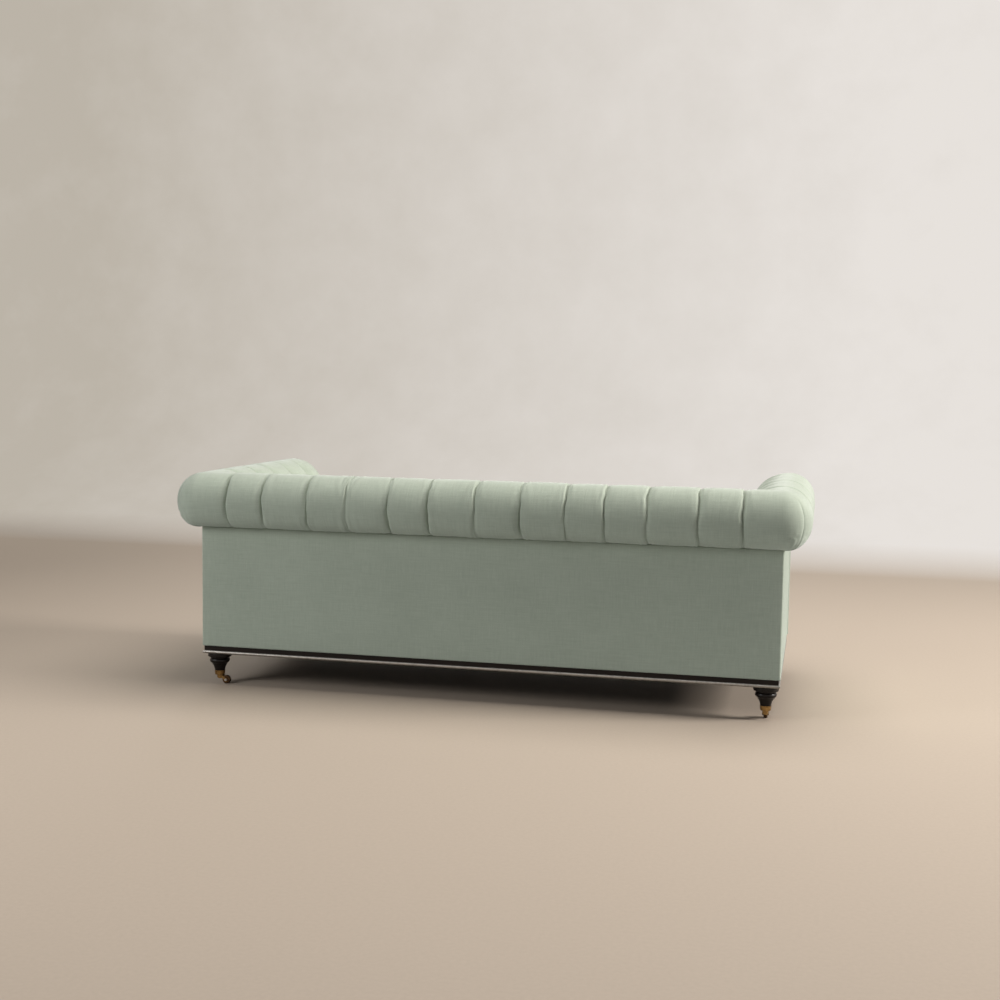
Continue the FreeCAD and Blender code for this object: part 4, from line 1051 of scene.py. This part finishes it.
def cushion_shell():
    """A box cushion: a crowned top and a flat bottom as grids, joined by a border that bulges by a sine."""
    rows, columns = CUSHION_GRID
    share_y, share_x = np.meshgrid(np.linspace(-1, 1, rows), np.linspace(-1, 1, columns), indexing="ij")
    crown = CUSHION_CROWN * ((1 - share_x ** 2) * (1 - share_y ** 2)) ** 0.6
    top = joined(*cushion_plan(share_x, share_y, 1.0), cover_high[2] - SEAM_DROP + crown).reshape(-1, 3)
    under = joined(*cushion_plan(share_x, share_y, 0.0), cover_low[2] + UNDER_EASE).reshape(-1, 3)
    rim = rim_of(rows, columns)
    share = np.linspace(0, 1, BORDER_ROWS + 2)[1:-1, None, None]
    away = unit((top[rim] - top.mean(axis=0)) * (1, 1, 0))
    band = top[rim] * (1 - share) + under[rim] * share + BORDER_BULGE * np.sin(math.pi * share) * away
    count = rows * columns
    rings = np.vstack([rim[None], 2 * count + grid_numbers(BORDER_ROWS, len(rim)), rim[None] + count])
    rings = np.hstack([rings, rings[:, :1]])
    walls = joined(rings[:-1, :-1], rings[1:, :-1], rings[1:, 1:], rings[:-1, 1:]).reshape(-1, 4)
    flat = grid_quads(rows, columns)
    flats = np.concatenate([flat, flat[:, ::-1] + count])
    points = np.concatenate([top, under, band.reshape(-1, 3)])
    lengths = lengths_along(top[np.append(rim, rim[0])])
    wall_along = joined(lengths[:-1], lengths[:-1], lengths[1:], lengths[1:])
    wall_uv = joined(np.tile(wall_along, (BORDER_ROWS + 1, 1)), points[walls][..., 2])
    uv = np.concatenate([points[flats][..., :2], wall_uv])
    return points, np.concatenate([flats, walls]), uv, rim, count


def inflate(piece, pinned):
    """Cloth simulation that swells a sewn case: its seams are pinned, pressure fills the rest for a few
    frames with gravity off, and no point moves by more than the cap."""
    before = np.empty(len(piece.data.vertices) * 3)
    piece.data.vertices.foreach_get("co", before)
    before = before.reshape(-1, 3)
    group = piece.vertex_groups.new(name="seams")
    group.add([int(number) for number in pinned], 1.0, "REPLACE")
    cloth = piece.modifiers.new("filling", "CLOTH")
    settings = {
        "quality": 6, "mass": 0.3, "tension_stiffness": 18, "compression_stiffness": 18,
        "bending_stiffness": 0.6, "use_pressure": True, "uniform_pressure_force": FILLING_PRESSURE,
        "vertex_group_mass": "seams"}
    for key, value in settings.items():
        setattr(cloth.settings, key, value)
    cloth.settings.effector_weights.gravity = 0
    cloth.collision_settings.use_collision = False
    cloth.point_cache.frame_start = 1
    cloth.point_cache.frame_end = FILLING_FRAMES
    scene = bpy.context.scene
    for number in range(1, FILLING_FRAMES + 1):
        scene.frame_set(number)
    ready = piece.evaluated_get(bpy.context.evaluated_depsgraph_get())
    after = np.empty(before.size)
    ready.data.vertices.foreach_get("co", after)
    move = after.reshape(-1, 3) - before
    size = np.linalg.norm(move, axis=1, keepdims=True)
    move = move * np.minimum(1, FILLING_CAP / np.maximum(size, 1e-9))
    piece.modifiers.remove(cloth)
    piece.vertex_groups.clear()
    scene.frame_set(1)
    return before + move


def cushion_creases(points, rim, count):
    """Use of the cushion: broad and small seeded waves over its top, and pulls that fan out from its corners
    as sines of the angle that die away, all fading out at the seam."""
    x, y = points[:count, 0], points[:count, 1]
    low = points[rim].min(axis=0)
    high = points[rim].max(axis=0)
    inset = np.minimum(np.minimum(x - low[0], high[0] - x), np.minimum(y - low[1], high[1] - y))
    lift = sum(height * unevenness(x, y, size, seed) for height, size, seed in TOP_WAVES)
    for corner_x in (low[0], high[0]):
        for corner_y in (low[1], high[1]):
            angle = np.arctan2(np.abs(y - corner_y), np.abs(x - corner_x))
            fade = np.exp(-np.hypot(x - corner_x, y - corner_y) / PULL_FADE)
            lift = lift + CORNER_PULL * np.sin(PULL_WAVES * angle + 0.6) * fade
    creased = points.copy()
    creased[:count, 2] += lift * np.clip(inset / 0.04, 0, 1)
    return creased


def seat_cushions():
    """The right cushion is filled by simulation, and the left one is its mirror image."""
    points, quads, uv, rim, count = cushion_shell()
    trial = make_piece("cushion_trial", points, quads, uv)
    moved = inflate(trial, np.concatenate([rim, rim + count]))
    bpy.data.objects.remove(trial)
    moved[count:2 * count] = points[count:2 * count]
    points = moved
    points = cushion_creases(points, rim, count)
    for side, side_name in SIDES[::-1]:
        placed = points * (side, 1, 1)
        cushion = make_piece(f"seat_cushion_{side_name}", placed, quads, uv, material=sage_cloth)
        finer = cushion.modifiers.new("finer", "SUBSURF")
        finer.levels = 1
        finer.render_levels = 1
        nodes = (f"seat_cushion_cover_{side_name}", f"seat_cushion_core_{side_name}")
        dress(cushion, f"cushion_{side_name}", "sage_fabric", *nodes, fill=0.85)
        for level, seam in (("top", rim), ("base", rim + count)):
            welt = piping(f"seat_welt_{level}_{side_name}", placed[seam], True)
            dress(welt, f"cushion_{side_name}", "sage_fabric")


seat_cushions()


# Serpentine springs under the deck
def spring_path():
    """One wire from front to back: half circles on alternate sides, joined by the straight runs between
    them."""
    turn = (spring_high[1] - spring_low[1] - 2 * WIRE_RADIUS) / (SPRING_RUNS - 1) / 2
    number = np.arange(SPRING_RUNS - 1)[:, None]
    angle = np.linspace(-math.pi / 2, math.pi / 2, 9)[None]
    x = (1 - 2 * (number % 2)) * (SPRING_HALF_RUN + turn * np.cos(angle))
    y = spring_low[1] + WIRE_RADIUS + turn * (2 * number + 1 + np.sin(angle))
    bends = joined(x, y, (spring_low[2] + spring_high[2]) / 2).reshape(-1, 3)
    return np.concatenate([bends[:1] * (-1, 1, 1), bends, bends[-1:] * (-1, 1, 1)])


def serpentine_springs():
    """All the springs in one mesh: the same wire set side by side."""
    points, uv, caps = swept_cord(spring_path(), WIRE_RADIUS, False)
    places = SPRING_PITCH * (np.arange(SPRING_COUNT) - (SPRING_COUNT - 1) / 2)
    wires = points[None] + places[:, None, None, None] * (1, 0, 0)
    return repeated_piece("serpentine_springs", wires, uv, bright_steel, caps)


dress(serpentine_springs(), "sofa", "steel", "seat_springs")


# Dust cover under the seat
DUST_SAG = 0.006
DUST_THICKNESS = 0.0008


def dust_sheet():
    """A thin cloth tacked round the base: a grid that sags between its edges by a product of a quartic and a
    parabola."""
    x, y = np.meshgrid(np.linspace(dust_low[0], dust_high[0], 60), np.linspace(dust_low[1], dust_high[1], 30))
    share_x = 2 * (x - dust_low[0]) / (dust_high[0] - dust_low[0]) - 1
    share_y = 2 * (y - dust_low[1]) / (dust_high[1] - dust_low[1]) - 1
    sag = DUST_SAG * (1 - share_x ** 4) * (1 - share_y ** 2)
    points = joined(x, y, dust_high[2] - DUST_THICKNESS / 2 - sag)
    sheet = grid_piece("dust_cloth", points, points[..., :2], dust_cloth)
    thick = sheet.modifiers.new("thickness", "SOLIDIFY")
    thick.thickness = DUST_THICKNESS
    thick.offset = 0
    return sheet


dust = dust_sheet()
dress(dust, "sofa", "dust_cloth", "dust_cover")


# Floor, light and camera: depths over which the floor's tone turns to the wall's at either end, and distances
# over which the far floor begins to glow
NEAR_WALL = (-3.3, -4.0)
FAR_WALL = (9.3, 10.0)
FAR_FLOOR = (3.9, 7.6)


def seen_directly(nodes):
    """1 for what the camera sees, straight or by reflection or through glass, and 0 for other light."""
    path = nodes.add("ShaderNodeLightPath", {})
    seen = nodes.math("MAXIMUM", path["Is Camera Ray"], path["Is Glossy Ray"])
    return nodes.math("MAXIMUM", seen, path["Is Transmission Ray"])


def wall_with_painted_light(nodes, place):
    """The wall as seen: pale plaster with faint clouding, and painted light that brightens it along X towards
    the window side.
    """
    # painted light: the wall's tone brightens along X towards the window side
    along = nodes.spread(nodes.parts(place)[0], 4.6, -1.6)
    cloud = nodes.noise(place, 2.2, 9.0, Roughness=0.62)
    mottle = nodes.times(nodes.math("SUBTRACT", cloud, 0.5), 0.35)
    return nodes.mix(nodes.plus(along, mottle), (0.50, 0.455, 0.39, 1), (0.80, 0.76, 0.72, 1))


def studio_material():
    """Floor and walls of the studio: two speckled tones by depth, grey for the light that they throw back,
    and a painted glow on the walls and the far floor where they are seen directly, brighter on the walls
    towards the window side."""
    material, nodes, shader, coordinates = new_material("studio_floor")
    place = coordinates["Object"]
    speck = nodes.noise(place, 90.0, 4.0)
    floor_tone = nodes.mix(speck, (0.43, 0.355, 0.282, 1), (0.48, 0.40, 0.32, 1))
    wall_tone = nodes.mix(speck, (0.72, 0.675, 0.625, 1), (0.77, 0.725, 0.675, 1))
    depth = nodes.parts(place)[1]
    wall = nodes.math("MAXIMUM", nodes.spread(depth, *NEAR_WALL), nodes.spread(depth, *FAR_WALL))
    away = nodes.add("ShaderNodeVectorMath", {0: place}, operation="LENGTH")["Value"]
    far_floor = nodes.spread(away, *FAR_FLOOR)
    seen = seen_directly(nodes)
    tone = nodes.mix(wall, floor_tone, wall_tone)
    nodes.put(shader, {"Base Color": nodes.mix(seen, (0.36, 0.36, 0.36, 1), tone), "Roughness": 0.75})
    # the tone of the painted glow, with the walls' painted window light
    pale = nodes.mix(wall, floor_tone, wall_with_painted_light(nodes, place))
    glow = nodes.add("ShaderNodeEmission", {"Color": pale, "Strength": 1.0})[0]
    glowing = nodes.times(seen, nodes.math("MAXIMUM", wall, far_floor))
    both = nodes.add("ShaderNodeMixShader", {0: glowing, 1: shader.outputs[0], 2: glow})
    nodes.put(nodes.tree.nodes["Material Output"], {"Surface": both[0]})
    return material


def studio_sweep():
    """Floor and two backdrops in one sheet: upright, quarter circle, flat, quarter circle and upright,
    carried along X."""
    near, far = -3.4, 11.0
    radius = 1.6
    wall_height = 6.0
    half_width = 30.0
    bend = np.linspace(0, math.pi / 2, 24)
    rise = radius * (1 - np.cos(bend))
    far_bend = far - radius * (1 - np.sin(bend[::-1]))
    near_bend = near - radius * np.sin(bend[1:])
    depth = np.concatenate([[far], far_bend, [near], near_bend, [near - radius]])
    height = np.concatenate([[wall_height], rise[::-1], [0.0], rise[1:], [wall_height]])
    x = np.array([-half_width, half_width])
    points = joined(x[None], depth[:, None], height[:, None])
    grid_piece("studio_sweep", points, points[..., :2], studio_material())


def soft_lamp(name, at, aim, size, power, colour):
    """A square lamp at a point, turned to face its aim."""
    lamp = bpy.data.lights.new(name, "AREA")
    lamp.size = size
    lamp.energy = power
    lamp.color = colour
    holder = bpy.data.objects.new(name, lamp)
    heading = (Vector(aim) - Vector(at)).to_track_quat("-Z", "Y")
    holder.matrix_world = Matrix.Translation(at) @ heading.to_matrix().to_4x4()
    bpy.context.scene.collection.objects.link(holder)


def soft_room():
    """A dim sky for the light, and a plain warm one where it is seen directly."""
    world = bpy.data.worlds.new("soft_room")
    world.use_nodes = True
    nodes = Nodes(world.node_tree)
    ambient = nodes.tree.nodes["Background"]
    nodes.put(ambient, {"Color": (0.95, 0.97, 1.0, 1), "Strength": 0.085})
    plain = nodes.add("ShaderNodeBackground", {"Color": (0.70, 0.66, 0.61, 1), "Strength": 1.0})
    sky = nodes.add("ShaderNodeMixShader", {0: seen_directly(nodes), 1: ambient.outputs[0], 2: plain[0]})
    nodes.put(nodes.tree.nodes["World Output"], {"Surface": sky[0]})
    bpy.context.scene.world = world


def photo_camera():
    """The camera that was fitted to the photograph: its place, and its axes from yaw, pitch and roll."""
    place = (-1.1468, 5.131, 1.1613)
    yaw, pitch, roll = 0.2239, 0.0906, 0.0145
    focal_share = 1.406
    ahead = Vector((math.sin(yaw) * math.cos(pitch), -math.cos(yaw) * math.cos(pitch), -math.sin(pitch)))
    right = Vector((-math.cos(yaw), -math.sin(yaw), 0))
    up = right.cross(ahead)
    tilted_right = right * math.cos(roll) + up * math.sin(roll)
    tilted_up = up * math.cos(roll) - right * math.sin(roll)
    lens = bpy.data.cameras.new("photo_camera")
    lens.sensor_width = 36.0
    lens.lens = lens.sensor_width * focal_share
    lens.clip_end = 60.0
    camera = bpy.data.objects.new("photo_camera", lens)
    axes = Matrix((tilted_right, tilted_up, -ahead)).transposed().to_4x4()
    camera.matrix_world = Matrix.Translation(place) @ axes
    bpy.context.scene.collection.objects.link(camera)
    bpy.context.scene.camera = camera


studio_sweep()
soft_lamp("overhead_box", (-0.9, -0.1, 4.6), (-0.2, 0, 0.4), 3.6, 175.0, (1.0, 0.975, 0.95))
soft_lamp("window_side", (-7.5, -0.15, 3.2), (0, 0, 0.5), 2.2, 640.0, (1.0, 0.97, 0.945))
soft_lamp("room_side", (3.5, 3.2, 2.2), (0.5, 0.3, 0.4), 1.6, 78.0, (0.97, 0.985, 1.0))
soft_lamp("front_fill", (1.6, -5.0, 2.0), (0, 0, 0.4), 2.4, 50.0, (1.0, 0.99, 0.98))
soft_room()
bpy.context.scene.view_settings.view_transform = "Standard"
photo_camera()
